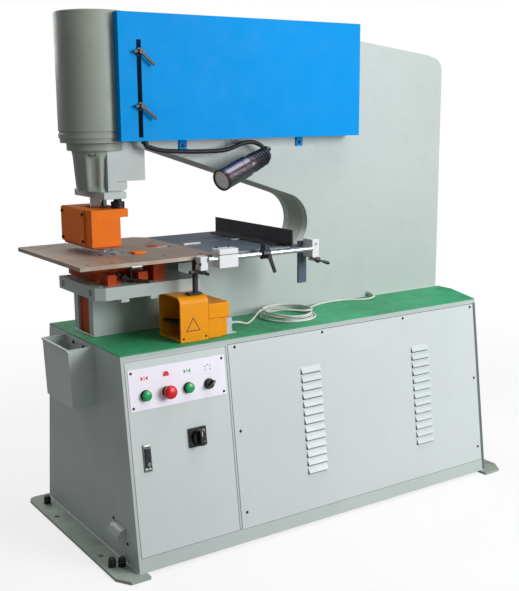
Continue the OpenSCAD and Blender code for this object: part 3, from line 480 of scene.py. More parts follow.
def bendRoute():
    c, k = cordFacts, joinBend
    reach, toward = c["coilRadius"] - k["radius"], math.radians(k["to"])
    cx, cy = c["coilSpot"][0] + reach * math.cos(toward), c["coilSpot"][1] + reach * math.sin(toward)
    top = c["mat"] + (c["turns"] - 1) * c["pitch"]
    bend = arc(cx, cy, k["radius"], k["from"], k["to"], k["steps"])[:-1]
    return [(x, y, top + k["lift"] * (1 - i / k["steps"])) for i, (x, y) in enumerate(bend)]


def coilRoute():
    c = cordFacts
    cx, cy = c["coilSpot"]
    points = []
    start = math.radians(joinBend["to"])
    for i in range(c["turns"] * c["perTurn"] + 2):
        turn = i / c["perTurn"]
        k = min(int(turn), c["turns"] - 1)
        n = min(k + 1, c["turns"] - 1)
        step = ease((turn - k - c["drop"][0]) / c["drop"][1])
        dx, dy, dr = (a + (b - a) * step for a, b in zip(turnDrift[k], turnDrift[n]))
        leave = ease((turn - c["turns"] + c["leave"][0]) / c["leave"][1])
        r = c["coilRadius"] + dr + leave * (c["leaveRadius"] - c["coilRadius"] - dr)
        layer = (c["turns"] - 1 - k) - (step if n > k else 0)
        a = start + 2 * math.pi * turn
        points.append((cx + dx * (1 - leave) + r * math.cos(a), cy + dy * (1 - leave) + r * math.sin(a),
                       c["mat"] + layer * c["pitch"]))
    return points


def pathLength(points):
    return sum((b - a).length for a, b in zip(points, points[1:]))


cordPath = smoothPath(leadRoute + joinRoute + bendRoute() + coilRoute() + tailRoute, 5)
cord = pipe("pedalCord", cordPath, cordFacts["diameter"] / 2, "jacket", "machine", 5)
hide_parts("cord_lead", "cord_coil")
print("cord laid", round(pathLength(cordPath), 3))


# Nodes that keep their shape get a finish and soft edges

dress("body", "front_wall", "rear_wall", "worktop", "cheek_front", "cheek_rear", "floor_pan", "cable_hood",
      bevel=0.0012)
dress("body", "bolster", bevel=0.002)
dress("body", "end_plate_left", "end_plate_right", bevel=0.001)
dress("casting", "frame_web", bevel=0.001)
dress("rail", "foot_rail_left", "foot_rail_right", bevel=0.0015)
dress("blackSteel", "levelling_bolts", "coupling_nut", "guide_columns", "fence", "rail_clamp", "clamp_lever",
      "upper_stop", "lower_stop", bevel=0.0008)
dress("mat", "mat")
dress("panel", "door", "rear_panel", "scrap_bin", "side_panel", bevel=0.0006)
dress("control", "control_plate", bevel=0.0004)
dress("black", "button_bezels", "switch_plate", "switch_knob", bevel=0.0008)
dress("bright", "piston_rod", "punch", "die", bevel=0.0004)
dress("zinc", "lock_body", bevel=0.0006)
dress("blackSteel", "lock_paddle", "panel_screws", bevel=0.0004)
dress("orange", "punch_guard", "guard_plate", bevel=0.0012)
# Chute, die holder and clamp blocks take the darkened orange: painted shade
dress("shadedOrange", "slug_chute", "die_holder", "clamp_blocks", bevel=0.0012)
dress("tableSteel", "punching_table", bevel=0.0009)
dress("darkTable", "gauge_table", bevel=0.0009)
dress("white", "slot_block", bevel=0.0008)
dress("cover", "cover", bevel=0.0012)
dress("rubber", "treadle", bevel=0.001)
dress("machine", "power_pack", bevel=0.003)
print("nodes dressed")


barrelSize = {"x": -0.634, "y": 0.075, "r": 0.118, "low": 1.297, "high": 1.700, "bolts": 8, "boltCircle": 0.088}


def makeBarrel():
    b = barrelSize
    r, low, high = b["r"], b["low"], b["high"]
    bm = bmesh.new()
    lathe(bm, [(0, high - 0.012), (0.04, high - 0.012), (0.042, high - 0.010), (0.042, high), (r - 0.005, high),
               (r - 0.0012, high - 0.0018), (r, high - 0.005), (r, low + 0.0375), (r - 0.0006, low + 0.0365),
               (r - 0.0026, low + 0.036), (r - 0.0026, low + 0.0305), (r - 0.0006, low + 0.030), (r, low + 0.029),
               (r, low + 0.0155), (r - 0.001, low + 0.0142), (r - 0.004, low + 0.0138), (r - 0.004, low + 0.001),
               (r - 0.005, low), (0.0285, low)], Matrix.Translation((b["x"], b["y"], 0)), 128)
    half = 180 / b["bolts"]
    for x, y in arc(b["x"], b["y"], b["boltCircle"], half, 360 - half, b["bolts"] - 1):
        hexInto(bm, (x, y, high - 0.0005), (0, 0, 1), 0.008, 0.0004)
    ob = fromBmesh("barrelShell", bm, "casting", "machine", 30)
    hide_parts("barrel")


noseSize = {
    "ringR": 0.094, "ringLow": 1.272, "topR": 0.079, "footR": 0.069, "foot": 1.144,
    "flutes": 10, "deep": 0.0085, "phase": 2.16, "sharp": 1.6, "fade": (0.07, 0.14, 0.10),
}


def makeNose():
    n, b = noseSize, barrelSize
    place = Matrix.Translation((b["x"], b["y"], 0))
    bm = bmesh.new()
    top, ring = b["low"], n["ringR"]
    lathe(bm, [(0.0285, top), (ring - 0.002, top), (ring, top - 0.002), (ring, n["ringLow"] + 0.002),
               (ring - 0.002, n["ringLow"]), (n["topR"] - 0.002, n["ringLow"])], place, 96)
    steps, rows = 160, 14
    grid = []
    for j in range(rows + 1):
        t = j / rows
        z = n["ringLow"] - t * (n["ringLow"] - n["foot"])
        base = n["topR"] + (n["footR"] - n["topR"]) * t
        start, over, end = n["fade"]
        fade = min(1, max(0, (t - start) / over)) * min(1, max(0, (1.0 - t) / end))
        row = []
        for k in range(steps):
            a = 2 * math.pi * k / steps
            wave = (0.5 - 0.5 * math.cos(n["flutes"] * (a + n["phase"]))) ** n["sharp"]
            r = base - n["deep"] * fade * (1 - wave)
            row.append(bm.verts.new(place @ Vector((r * math.cos(a), r * math.sin(a), z))))
        grid.append(row)
    skin(bm, *grid)
    ob = fromBmesh("noseCasting", bm, "casting", "machine", 35)
    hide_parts("nose_casting")

    bm = bmesh.new()
    outline = [(-0.634, 1.144), *arc(-0.578, 1.156, 0.012, -90, 0, 3), (-0.566, 1.1733), (-0.6003, 1.1733),
               (-0.6003, 1.272), (-0.634, 1.272)]
    stand = Matrix.Translation((0, 0.1545, 0)) @ Matrix.Rotation(math.pi / 2, 4, "X")
    extrude(bm, outline, 0.159, stand)
    fromBmesh("noseWeb", bm, "body", "machine", 30, 0.0012)

    boxPiece("noseFlange", "body", "machine", "body_paint", 0.0016,
             ((-0.667, -0.043, 1.122), (-0.589, 0.190, 1.144)))

    bm = bmesh.new()
    look = Vector((-0.56, -0.83, -0.06)).normalized()
    lathe(bm, [(0.0085, -0.004), (0.0085, 0.001), (0.0065, 0.001), (0.006, -0.003), (0, -0.003)],
          along(Vector((b["x"], b["y"], 1.2665)) + look * 0.0765, look) @ Matrix.Diagonal((1.5, 0.75, 1, 1)), 32)
    fromBmesh("nosePort", bm, "ink", "machine", 30)


makeBarrel()
makeNose()
print("cylinder made")


guardFacts = {"plateX": -0.7165, "screwY": (0.019, 0.181), "screwZ": (0.988, 1.075)}


def makeGuardTrim():
    g = guardFacts
    capScrew = [(0.0058, 0), (0.0058, 0.0036), (0.0050, 0.0046), (0.0026, 0.0046), (0.0024, 0.002), (0, 0.002)]
    bm = bmesh.new()
    for y in g["screwY"]:
        for z in g["screwZ"]:
            lathe(bm, capScrew, along((g["plateX"], y, z), (-1, 0, 0)), 24)
    fromBmesh("guardScrews", bm, "blackSteel", "machine", 30)
    # Strips along the guard's lower edges in darkened orange: painted shade under the guard
    bm = bmesh.new()
    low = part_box("punch_guard")[0]
    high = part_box("punch_guard")[1]
    x1 = low.x + 0.099
    for a, c in (((low.x + 0.004, low.y + 0.003), (x1 - 0.003, low.y + 0.009)),
                 ((low.x + 0.004, high.y - 0.009), (x1 - 0.003, high.y - 0.003)),
                 ((low.x + 0.004, low.y + 0.009), (low.x + 0.010, high.y - 0.009))):
        boxInto(bm, (*a, low.z - 0.007), (*c, low.z + 0.0005))
    fromBmesh("guardSkirt", bm, "shadedOrange", "machine", 30, 0.0015)


makeGuardTrim()
print("guard trimmed")


controls = {"x": -0.59725, "pitch": 0.0745, "z": 0.548, "symbolZ": 0.600, "capR": 0.0158, "stopR": 0.0212}


def controlX(i):
    return controls["x"] + i * controls["pitch"]


def makeControls():
    c = controls
    for name, i, node in (("startCap", -1, "start_button"), ("returnCap", 1, "return_button")):
        bm = bmesh.new()
        r = c["capR"]
        lathe(bm, [(0, 0.0), (0.0108, 0.0), (0.0108, 0.0102), (r - 0.001, 0.0104), (r, 0.0114), (r, 0.0148),
                   (r - 0.0012, 0.0168), (r * 0.72, 0.0182), (r * 0.35, 0.0188), (0, 0.019)],
              frontPlace(controlX(i), c["z"]), 48)
        ob = fromBmesh(name, bm, "green", node, 50)
        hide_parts(node)
    bm = bmesh.new()
    r = c["stopR"]
    lathe(bm, [(0, 0), (0.0108, 0), (0.0108, 0.0120), (0.0125, 0.0150), (r - 0.002, 0.0172), (r, 0.0195),
               (r, 0.0265), (r - 0.0016, 0.0312), (r * 0.8, 0.0344), (r * 0.5, 0.0362), (0, 0.0368)],
          frontPlace(controlX(0), c["z"]), 56)
    ob = fromBmesh("stopMushroom", bm, "red", "estop_button", 50)
    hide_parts("estop_button")

    bm = bmesh.new()
    turn = Matrix.Rotation(math.radians(-52), 4, "Z")
    place = frontPlace(controlX(2), c["z"])
    lathe(bm, [(0, 0.0), (0.0108, 0.0), (0.0108, 0.0064), (0.0150, 0.0066), (0.0150, 0.0125), (0.0142, 0.0140),
               (0, 0.0140)], place, 40)
    extrude(bm, roundedBox(0.0095, 0.031, 0.0035), 0.0115, place @ turn @ Matrix.Translation((0, 0, 0.0135)))
    ob = fromBmesh("selectorGrip", bm, "black", "selector", 40, 0.0009)
    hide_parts("selector_knob")
    bm = bmesh.new()
    extrude(bm, roundedBox(0.0014, 0.010, 0.0005, 3), 0.0004,
            place @ turn @ Matrix.Translation((0, 0.0085, 0.0249)))
    fromBmesh("selectorLine", bm, "white", "selector")

    bm = bmesh.new()
    for i in range(-1, 3):
        lathe(bm, [(0.0156, 0.0014), (0.0172, 0.0016), (0.0172, 0.0040), (0.0165, 0.0052), (0.0156, 0.0054)],
              frontPlace(controlX(i), c["z"]), 48)
    fromBmesh("bezelRings", bm, "rubber", "door", 40)


def makeSymbols():
    c = controls
    marks = {"startMark": (-1, "redInk"), "returnMark": (1, "greenInk")}
    for name, (i, ink) in marks.items():
        bm = bmesh.new()
        for side in (-1, 1):
            spot = frontPlace(controlX(i) + side * 0.0075, c["symbolZ"], 0.0014)
            extrude(bm, [(side * 0.0045, -0.007), (side * 0.0045, 0.007), (-side * 0.0045, 0.0)], 0.0003, spot)
        extrude(bm, [(-0.0010, -0.007), (0.0010, -0.007), (0.0010, 0.007), (-0.0010, 0.007)], 0.0003,
                frontPlace(controlX(i), c["symbolZ"], 0.0014))
        fromBmesh(name, bm, ink, "door", 0)
    bm = bmesh.new()
    spot = frontPlace(controlX(0), c["symbolZ"] + 0.002, 0.0014)
    dome = arc(0, -0.001, 0.0105, 0, 180, 12)
    extrude(bm, dome + [(-0.0105, -0.006), (0.0105, -0.006)], 0.0003, spot)
    fromBmesh("stopMark", bm, "redInk", "door", 0)
    bm = bmesh.new()
    for dx, dz in ((-0.009, 0.004), (0.0, 0.008), (0.009, 0.004), (-0.009, -0.006), (0.009, -0.006)):
        lathe(bm, [(0.0022, 0), (0.0022, 0.0003), (0, 0.0003)],
              frontPlace(controlX(2) + dx, c["symbolZ"] + dz, 0.0014), 16)
    fromBmesh("selectorMarks", bm, "greenInk", "door", 0)


doorFacts = {"switchX": -0.506, "switchZ": 0.390, "lockX": -0.684, "lockZ": 0.358}


def makeDoorTrim():
    d = doorFacts
    low, high = (-0.725, -0.385), (0.505, 0.631)
    bm = bmesh.new()
    for x in (low[0] + 0.010, low[1] - 0.010):
        for z in (high[0] + 0.010, high[1] - 0.010):
            screwInto(bm, frontSpot(x, z, 0.0012), frontWay, 0.0042, 0.0022)
    for dx in (-0.0245, 0.0245):
        for dz in (-0.0245, 0.0245):
            screwInto(bm, frontSpot(d["switchX"] + dx, d["switchZ"] + dz, 0.0076), frontWay, 0.0028, 0.0014)
    fromBmesh("doorScrews", bm, "blackSteel", "door", 40)

    bm = bmesh.new()
    place = frontPlace(d["switchX"], d["switchZ"], 0.0078)
    extrude(bm, roundedBox(0.0065, 0.044, 0.001), 0.0006, place @ Matrix.Translation((0.0205, 0.0, 0)))
    fromBmesh("switchLabel", bm, "zinc", "door", 0)
    bm = bmesh.new()
    extrude(bm, roundedBox(0.0020, 0.016, 0.0008, 3), 0.0005, frontPlace(d["switchX"], d["switchZ"], 0.0358)
            @ Matrix.Translation((0, 0.013, 0)))
    fromBmesh("switchLine", bm, "white", "main_switch", 0)

    bm = bmesh.new()
    for dz in (-0.034, 0.034):
        screwInto(bm, frontSpot(d["lockX"], d["lockZ"] + dz, 0.0038), frontWay, 0.0032, 0.0016)
    rim = roundedBox(0.0255, 0.083, 0.003)
    inner = roundedBox(0.0205, 0.064, 0.002)
    place = frontPlace(d["lockX"], d["lockZ"], 0.0039)
    lowRing = [bm.verts.new(place @ Vector((x, y, 0))) for x, y in rim]
    highRing = [bm.verts.new(place @ Vector((x * 0.96, y * 0.985, 0.0004))) for x, y in rim]
    innerRing = [bm.verts.new(place @ Vector((x, y, 0.0004))) for x, y in inner]
    floorRing = [bm.verts.new(place @ Vector((x * 0.95, y * 0.98, 0.0001))) for x, y in inner]
    skin(bm, lowRing, highRing, innerRing, floorRing)
    fromBmesh("lockFrame", bm, "zinc", "door", 40)
    bm = bmesh.new()
    lathe(bm, [(0.0062, 0.0), (0.0062, 0.0030), (0.0052, 0.0036), (0.0012, 0.0036), (0.0012, 0.001), (0, 0.001)],
          frontPlace(d["lockX"], d["lockZ"] - 0.018, 0.0078), 28)
    fromBmesh("lockBarrel", bm, "bright", "door_lock", 30)


makeControls()
makeSymbols()
makeDoorTrim()
print("controls made")


pedal = {
    "x0": -0.517, "x1": -0.414, "y0": -0.244, "y1": -0.104, "z0": 0.677, "top": 0.822,
    "round": 0.024, "wall": 0.005,
}


def archPath(inset):
    p = pedal
    y0, y1, top, r = p["y0"] + inset, p["y1"] - inset, p["top"] - inset, p["round"] - inset
    path = [(y0, p["z0"])]
    path += arc(y0 + r, top - r, r, 180, 90, 9) + arc(y1 - r, top - r, r, 90, 0, 9)
    return path + [(y1, p["z0"])]


def makePedal():
    p = pedal
    lay = Matrix(((0, 0, 1, 0), (1, 0, 0, 0), (0, 1, 0, 0), (0, 0, 0, 1)))
    bm = bmesh.new()
    outer, inner = archPath(0), archPath(p["wall"])
    extrude(bm, outer + inner[::-1], p["x1"] - p["x0"], Matrix.Translation((p["x0"], 0, 0)) @ lay)
    extrude(bm, archPath(0.0012), p["wall"], Matrix.Translation((p["x1"] - p["wall"] - 0.0005, 0, 0)) @ lay)
    boxInto(bm, (p["x0"] + 0.003, p["y0"] + 0.003, p["z0"]), (p["x1"] - 0.002, p["y1"] - 0.003, p["z0"] + 0.008))
    ob = fromBmesh("pedalHood", bm, "amber", "machine", 40, 0.0013)
    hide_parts("pedal_body")
    boxPiece("pedalCase", "amber", "machine", "amber_paint", 0.004,
             ((-0.4145, p["y0"] + 0.0005, 0.741), (-0.334, p["y1"] - 0.0005, 0.791)),
             ((-0.4145, p["y0"] + 0.003, p["z0"]), (-0.364, p["y1"] - 0.003, 0.742)),
             ((-0.3645, p["y0"] + 0.012, p["z0"]), (-0.3365, p["y1"] - 0.012, 0.742)), smooth=40, steps=3)
    boxPiece("pedalEndBlock", "grey", "machine", "lamp_metal", 0.002,
             ((-0.3375, p["y0"] + 0.030, p["z0"]), (-0.307, p["y1"] - 0.030, 0.729)),
             ((-0.3375, p["y0"] + 0.022, p["z0"]), (-0.297, p["y1"] - 0.022, 0.683)), smooth=40, steps=3)
    bm = bmesh.new()
    lathe(bm, [(0.0112, -0.001), (0.0112, 0.006), (0.0100, 0.0072), (0.0072, 0.0078), (0.0060, 0.011),
               (0.0046, 0.0162), (0.0034, 0.0164), (0.0034, 0.006)], along((-0.307, -0.193, 0.707), (1, 0, 0)), 32)
    fromBmesh("pedalGland", bm, "grey", "machine", 30)
    bm = bmesh.new()
    for x in (-0.506, -0.424):
        screwInto(bm, (x, p["y0"] + 0.0002, 0.690), (0, -1, 0), 0.0036, 0.0016)
    for y in (p["y0"] + 0.027, p["y1"] - 0.027):
        screwInto(bm, (-0.302, y, 0.6828), (0, 0, 1), 0.0034, 0.0018)
    fromBmesh("pedalScrews", bm, "blackSteel", "machine", 40)
    bm = bmesh.new()
    stand = Matrix.Translation((-0.4705, p["y0"] + 0.0001, 0.7265)) @ Matrix.Rotation(math.pi / 2, 4, "X")
    size, band = 0.030, 0.0046
    ring = [arc(0, 0, r, 90, 330, 2) for r in (size, size - band)]
    for k in range(3):
        n = (k + 1) % 3
        extrude(bm, [ring[0][k], ring[0][n], ring[1][n], ring[1][k]], 0.0004, stand)
    fromBmesh("pedalTriangle", bm, "ink", "machine", 0)
    bm = bmesh.new()
    for k in range(9):
        t = (k + 0.5) / 9
        x, z = -0.447 - 0.058 * t, 0.7225 + 0.0127 * t
        boxInto(bm, (x - 0.0018, p["y0"] + 0.014, z), (x + 0.0018, p["y1"] - 0.014, z + 0.0016))
    fromBmesh("treadleRibs", bm, "rubber", "treadle", 30, 0.0004, 1)


makePedal()
print("pedal made")


tableTop = 0.947


def makeTables():
    top, low = tableTop - 0.0004, tableTop - 0.010
    x0, x1, y0, y1 = -0.6935, -0.5945, -0.0545, 0.1715
    left, right, near, far = -0.6695, -0.5985, 0.0395, 0.1105
    boxPiece("dieInsert", "dieSteel", "machine", "table_steel", 0,
             ((x0, y0, low), (left, y1, top)), ((right, y0, low), (x1, y1, top)),
             ((left, y0, low), (right, near, top)), ((left, far, low), (right, y1, top)))
    bm = bmesh.new()
    for spot in ((-0.682, -0.028), (-0.682, 0.150), (-0.607, -0.030), (-0.640, -0.036), (-0.640, 0.146)):
        extrude(bm, roundedBox(0.009, 0.030, 0.0044), 0.0004, Matrix.Translation((*spot, top - 0.0001)))
    screwSpots = ((-0.800, -0.195), (-0.800, 0.262), (-0.410, -0.190), (-0.720, -0.195), (-0.410, 0.140),
                  (-0.520, -0.150))
    for x, y in screwSpots:
        lathe(bm, [(0.0062, 0), (0.0062, 0.0003), (0, 0.0003)], Matrix.Translation((x, y, tableTop - 0.0001)), 28)
    fromBmesh("tableSlots", bm, "ink", "machine", 30)
    boxPiece("tableGaugeBlock", "orange", "machine", "orange_paint", 0.0012,
             ((-0.588, -0.084, tableTop), (-0.548, -0.050, tableTop + 0.007)))
    # Stop plate in the darkened orange: painted shade
    boxPiece("tableStopPlate", "shadedOrange", "machine", "orange_paint", 0.0008,
             ((-0.474, 0.030, tableTop), (-0.440, 0.066, tableTop + 0.003)))
    boxPiece("slotNut", "white", "machine", "white_block", 0.0008,
             ((-0.153, 0.0155, tableTop - 0.004), (-0.121, 0.0285, tableTop + 0.0025)))


rail = {
    "y": -0.260, "z": 0.937, "x0": -0.422, "x1": -0.014, "r": 0.009,
    "ticks": 48, "tickFrom": -0.316, "tickSpan": 0.236,
}


def makeRail():
    k = rail
    bm = bmesh.new()
    r = k["r"] - 0.0002
    lathe(bm, [(0, 0), (r - 0.001, 0), (r, 0.001), (r, k["x1"] - k["x0"] - 0.001), (r - 0.001, k["x1"] - k["x0"]),
               (0, k["x1"] - k["x0"])], along((k["x0"], k["y"], k["z"]), (1, 0, 0)), 48)
    ob = fromBmesh("railBar", bm, "bright", "machine", 30)
    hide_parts("rail_rods")
    boxPiece("scaleBar", "zinc", "machine", "bright_steel", 0.0006,
             ((-0.318, -0.221, 0.938), (-0.0775, -0.215, 0.945)))
    bm = bmesh.new()
    for i in range(k["ticks"] + 1):
        x = k["tickFrom"] + i * k["tickSpan"] / k["ticks"]
        tall = 0.0040 if i % 4 == 0 else 0.0024
        boxInto(bm, (x - 0.00025, -0.22120, 0.9445 - tall), (x + 0.00025, -0.2209, 0.9445))
    fromBmesh("scaleTicks", bm, "ink", "machine", 0)

    boxPiece("splitBlock", "white", "machine", "white_block", 0.0012,
             ((-0.388, -0.2745, 0.9072), (-0.318, -0.2275, 0.9482)),
             ((-0.388, -0.2745, 0.9502), (-0.318, -0.2275, 0.9668)))
    bm = bmesh.new()
    boxInto(bm, (-0.3865, -0.2730, 0.9475), (-0.3195, -0.2290, 0.9510))
    for x in (-0.376, -0.330):
        lathe(bm, [(0.0042, 0), (0.0042, 0.004), (0.0034, 0.0048), (0.0020, 0.0048), (0.0018, 0.002), (0, 0.002)],
              Matrix.Translation((x, -0.236, 0.9664)), 24)
    fromBmesh("splitBlockGap", bm, "ink", "machine", 30)


def makeBrackets():
    boxPiece("leftBracket", "white", "machine", "white_block", 0.0012,
             ((-0.449, -0.260, 0.9035), (-0.4215, -0.2273, 0.9468)))
    boxPiece("leftPost", "blackSteel", "machine", "black_steel", 0.001,
             ((-0.4515, -0.2245, 0.824), (-0.4385, -0.2095, 0.9347)),
             ((-0.474, -0.232, 0.824), (-0.428, -0.200, 0.830)))
    bm = bmesh.new()
    lathe(bm, [(0, 0), (0.010, 0), (0.013, 0.003), (0.013, 0.009), (0.010, 0.012), (0, 0.012)],
          Matrix.Translation((-0.436, -0.246, 0.8912)), 32)
    lathe(bm, [(0.0046, 0), (0.0046, 0.030), (0.0066, 0.036), (0.0066, 0.058), (0.0040, 0.062), (0, 0.062)],
          along((-0.430, -0.248, 0.8975), (-0.96, -0.20, 0.10)), 24)
    lathe(bm, [(0, 0), (0.0050, 0), (0.0050, 0.016), (0, 0.016)],
          along((-0.430, -0.250, 0.894), (0.8, -0.5, -0.3)), 20)
    fromBmesh("leftLever", bm, "black", "machine", 40)

    ob = boxPiece("rightBracket", "white", "machine", "white_block", 0.0012,
                  ((-0.0125, -0.260, 0.9035), (0.0155, -0.2055, 0.9665)),
                  ((-0.010, -0.266, 0.8930), (0.013, -0.232, 0.9037)))
    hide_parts("rail_brackets")
    boxPiece("rightPost", "darkTable", "machine", "dark_table", 0.001,
             ((-0.030, -0.2045, 0.812), (0.004, -0.1955, 0.957)),
             ((-0.0735, -0.2045, 0.936), (-0.030, -0.176, 0.9458)))
    bm = bmesh.new()
    lathe(bm, [(0.0050, 0), (0.0050, 0.0008), (0.0036, 0.0008), (0.0032, -0.002), (0, -0.002)],
          along((0.0015, -0.2600, 0.951), (0, -1, 0)), 24)
    lathe(bm, [(0, 0), (0.0080, 0), (0.0100, 0.002), (0.0100, 0.008), (0.0075, 0.010), (0, 0.010)],
          along((0.002, -0.2655, 0.898), (0, -1, 0)), 28)
    lathe(bm, [(0.0038, 0), (0.0038, 0.018), (0.0056, 0.024), (0.0056, 0.040), (0.0030, 0.044), (0, 0.044)],
          along((0.004, -0.272, 0.8975), (0.93, -0.15, -0.33)), 20)
    lathe(bm, [(0.0036, 0), (0.0030, 0.030), (0, 0.030)], along((0.000, -0.272, 0.8985), (-0.93, 0.0, 0.36)), 20)
    fromBmesh("rightLever", bm, "black", "machine", 40)

    bm = bmesh.new()
    for y in (-0.268, -0.236):
        lathe(bm, [(0.0046, 0), (0.0046, 0.004), (0.0024, 0.0042), (0.0022, 0.001), (0, 0.001)],
              along((-0.449, y + 0.006, 0.925), (-1, 0, 0)), 20)
    fromBmesh("bracketScrews", bm, "blackSteel", "machine", 30)


makeTables()
makeRail()
makeBrackets()
print("tables made")


goose = {"radius": 0.0078, "ribs": 0.0052, "deep": 0.0012, "sides": 14}
gooseRoute = [
    (-0.517, -0.040, 1.3017), (-0.517, -0.040, 1.292), (-0.508, -0.042, 1.283), (-0.476, -0.045, 1.273),
    (-0.445, -0.046, 1.268), (-0.400, -0.046, 1.265), (-0.355, -0.046, 1.263), (-0.310, -0.046, 1.262),
    (-0.270, -0.046, 1.262), (-0.235, -0.046, 1.263), (-0.205, -0.046, 1.267), (-0.178, -0.046, 1.275),
    (-0.153, -0.046, 1.284), (-0.127, -0.046, 1.288), (-0.102, -0.046, 1.286), (-0.080, -0.046, 1.278),
    (-0.069, -0.046, 1.2706), (-0.0611, -0.046, 1.2657),
]


def evenly(points, step):
    out, left = [points[0]], step
    for a, b in zip(points, points[1:]):
        span = (b - a).length
        while left <= span:
            out.append(a + (b - a) * (left / span))
            left += step
        left -= span
    return out + [points[-1]]


def makeGooseneck():
    g = goose
    path = evenly(smoothPath(gooseRoute, 10), g["ribs"] / 4)
    bm = bmesh.new()
    rings = []
    side = Vector((0, 1, 0))
    for i, spot in enumerate(path):
        way = (path[min(i + 1, len(path) - 1)] - path[max(i - 1, 0)]).normalized()
        side = (side - way * side.dot(way)).normalized()
        other = way.cross(side)
        r = g["radius"] - g["deep"] * (1.0, 0.5, 0.0, 0.5)[i % 4]
        rings.append([bm.verts.new(spot + r * (side * math.cos(2 * math.pi * k / g["sides"])
                                                + other * math.sin(2 * math.pi * k / g["sides"])))
                      for k in range(g["sides"])])
    skin(bm, *rings)
    bm.faces.new(rings[0])
    bm.faces.new(rings[-1])
    lathe(bm, [(0.0042, -0.005), (0.0095, -0.005), (0.010, -0.0045), (0.010, 0.0045), (0.0095, 0.005),
               (0.0042, 0.005)], along((-0.052, -0.046, 1.262), (0, -1, 0)), 32)
    lathe(bm, [(0.0088, 0), (0.0115, 0.001), (0.0115, 0.008), (0.0088, 0.009)],
          along((-0.517, -0.040, 1.292), (0, 0, 1)), 32)
    ob = fromBmesh("lampNeck", bm, "blackSteel", "machine", 60)
    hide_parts("gooseneck")


lamp = {"pivot": (-0.060, -0.069, 1.247), "beam": (-0.228, -0.059, -0.0775), "long": 0.248, "r": 0.036}


def makeLamp():
    k = lamp
    place = along(k["pivot"], k["beam"])
    r, far = k["r"], k["long"]
    bm = bmesh.new()
    lathe(bm, [(0, 0.002), (0.012, 0.003), (0.020, 0.008), (0.0245, 0.016), (0.0275, 0.034), (0.0295, 0.060),
               (0.0310, 0.090), (0.0315, 0.119), (0.0300, 0.1215), (0, 0.1215)], place, 56)
    for j in range(5):
        z = 0.030 + j * 0.014
        root, crest = 0.0262 + j * 0.0009, 0.0300 + j * 0.0007
        lathe(bm, [(root, z - 0.003), (crest, z - 0.002), (crest, z + 0.002), (root, z + 0.003)], place, 56)
    lathe(bm, [(0, 0), (0.0086, 0), (0.009, 0.0006), (0.009, 0.0114), (0.0086, 0.012), (0.004, 0.012),
               (0.004, 0.0124)], along((-0.052, -0.0514, 1.262), (0, -1, 0)), 32)
    lathe(bm, [(0.004, 0), (0.004, 0.016), (0, 0.016)], along((-0.052, -0.038, 1.262), (0, -1, 0)), 24)
    ob = fromBmesh("lampHousing", bm, "lampBlack", "lamp_head", 35)
    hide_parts("lamp_head")
    bm = bmesh.new()
    lathe(bm, [(0.0300, 0.1195), (r - 0.002, 0.120), (r - 0.0004, 0.122), (r - 0.0004, 0.150),
               (r - 0.0014, 0.151), (r - 0.0014, 0.154), (r - 0.0004, 0.155), (r - 0.0004, far - 0.012)],
          place, 64)
    fromBmesh("lampBarrel", bm, "gunmetal", "lamp_head", 35)
    bm = bmesh.new()
    lathe(bm, [(r - 0.0004, far - 0.0125), (r + 0.0006, far - 0.0115), (r + 0.0006, far - 0.001),
               (r - 0.0004, far), (r - 0.0032, far), (r - 0.0042, far - 0.0012), (r - 0.0042, far - 0.006)],
          place, 64)
    fromBmesh("lampRim", bm, "lampBlack", "lamp_head", 35)
    bm = bmesh.new()
    lathe(bm, [(r - 0.0040, far - 0.0055), (r * 0.7, far - 0.0035), (r * 0.4, far - 0.0022), (0, far - 0.0018)],
          place, 64)
    fromBmesh("lampLens", bm, "lens", "lamp_head", 60)


makeGooseneck()
makeLamp()
print("lamp made")


def makeFrameTrim():
    boxPiece("bolsterTabs", "body", "machine", "body_paint", 0.001,
             *(((x - 0.014, -0.147, 0.810), (x + 0.014, -0.118, 0.8223)) for x in (-0.656, -0.554)))
    bm = bmesh.new()
    for x, y, way in ((-0.7505, 0.120, (-1, 0, 0)), (-0.7505, -0.096, (-1, 0, 0))):
        lathe(bm, [(0.0095, 0), (0.0095, 0.0006), (0.0078, 0.0008), (0.0072, -0.003), (0, -0.003)],
              along((x, y, 0.842), way), 28)
    fromBmesh("bolsterSockets", bm, "ink", "machine", 30)
    bm = bmesh.new()
    lathe(bm, [(0, 0), (0.0044, 0), (0.0044, 0.070), (0.0060, 0.074), (0.0060, 0.084), (0, 0.086)],
          along((-0.652, -0.128, 0.884), (0.93, -0.20, -0.20)), 20)
    lathe(bm, [(0, 0), (0.0095, 0), (0.0095, 0.010), (0, 0.010)],
          along((-0.645, -0.121, 0.884), (-0.2, -1, 0)), 24)
    lathe(bm, [(0.0052, 0), (0.0052, 0.064), (0, 0.064)], along((-0.612, -0.100, 0.862), (0, 0, 1)), 20)
    fromBmesh("clampHandle", bm, "black", "machine", 40)
    bm = bmesh.new()
    for x in (-0.656, -0.560):
        hexInto(bm, (x, -0.100, 0.888), (0, 0, 1), 0.0085, 0.008)
    fromBmesh("clampBolts", bm, "blackSteel", "machine", 30, 0.0004)
    boxPiece("plateSeam", "rail", "machine", "body_paint", 0,
             ((-0.1886, -0.0006, 1.2300), (-0.1872, 0.0004, 1.6430)), smooth=0)
    bm = bmesh.new()
    for x in (-0.358, 0.120):
        lathe(bm, [(0.0058, 0), (0.0058, 0.0030), (0.0046, 0.0042), (0.0026, 0.0042), (0.0024, 0.001),
                   (0, 0.001)], along((x, -0.0058, 1.281), (0, -1, 0)), 24)
    fromBmesh("coverScrews", bm, "blackSteel", "machine", 30)


cabinet = {
    "x0": -0.7435, "bead": 0.0032, "armBead": 0.0026, "rimTop": 0.6658,
    "strip": (0.7446, 0.7556), "stripLow": 0.012, "stripHigh": 0.662,
}


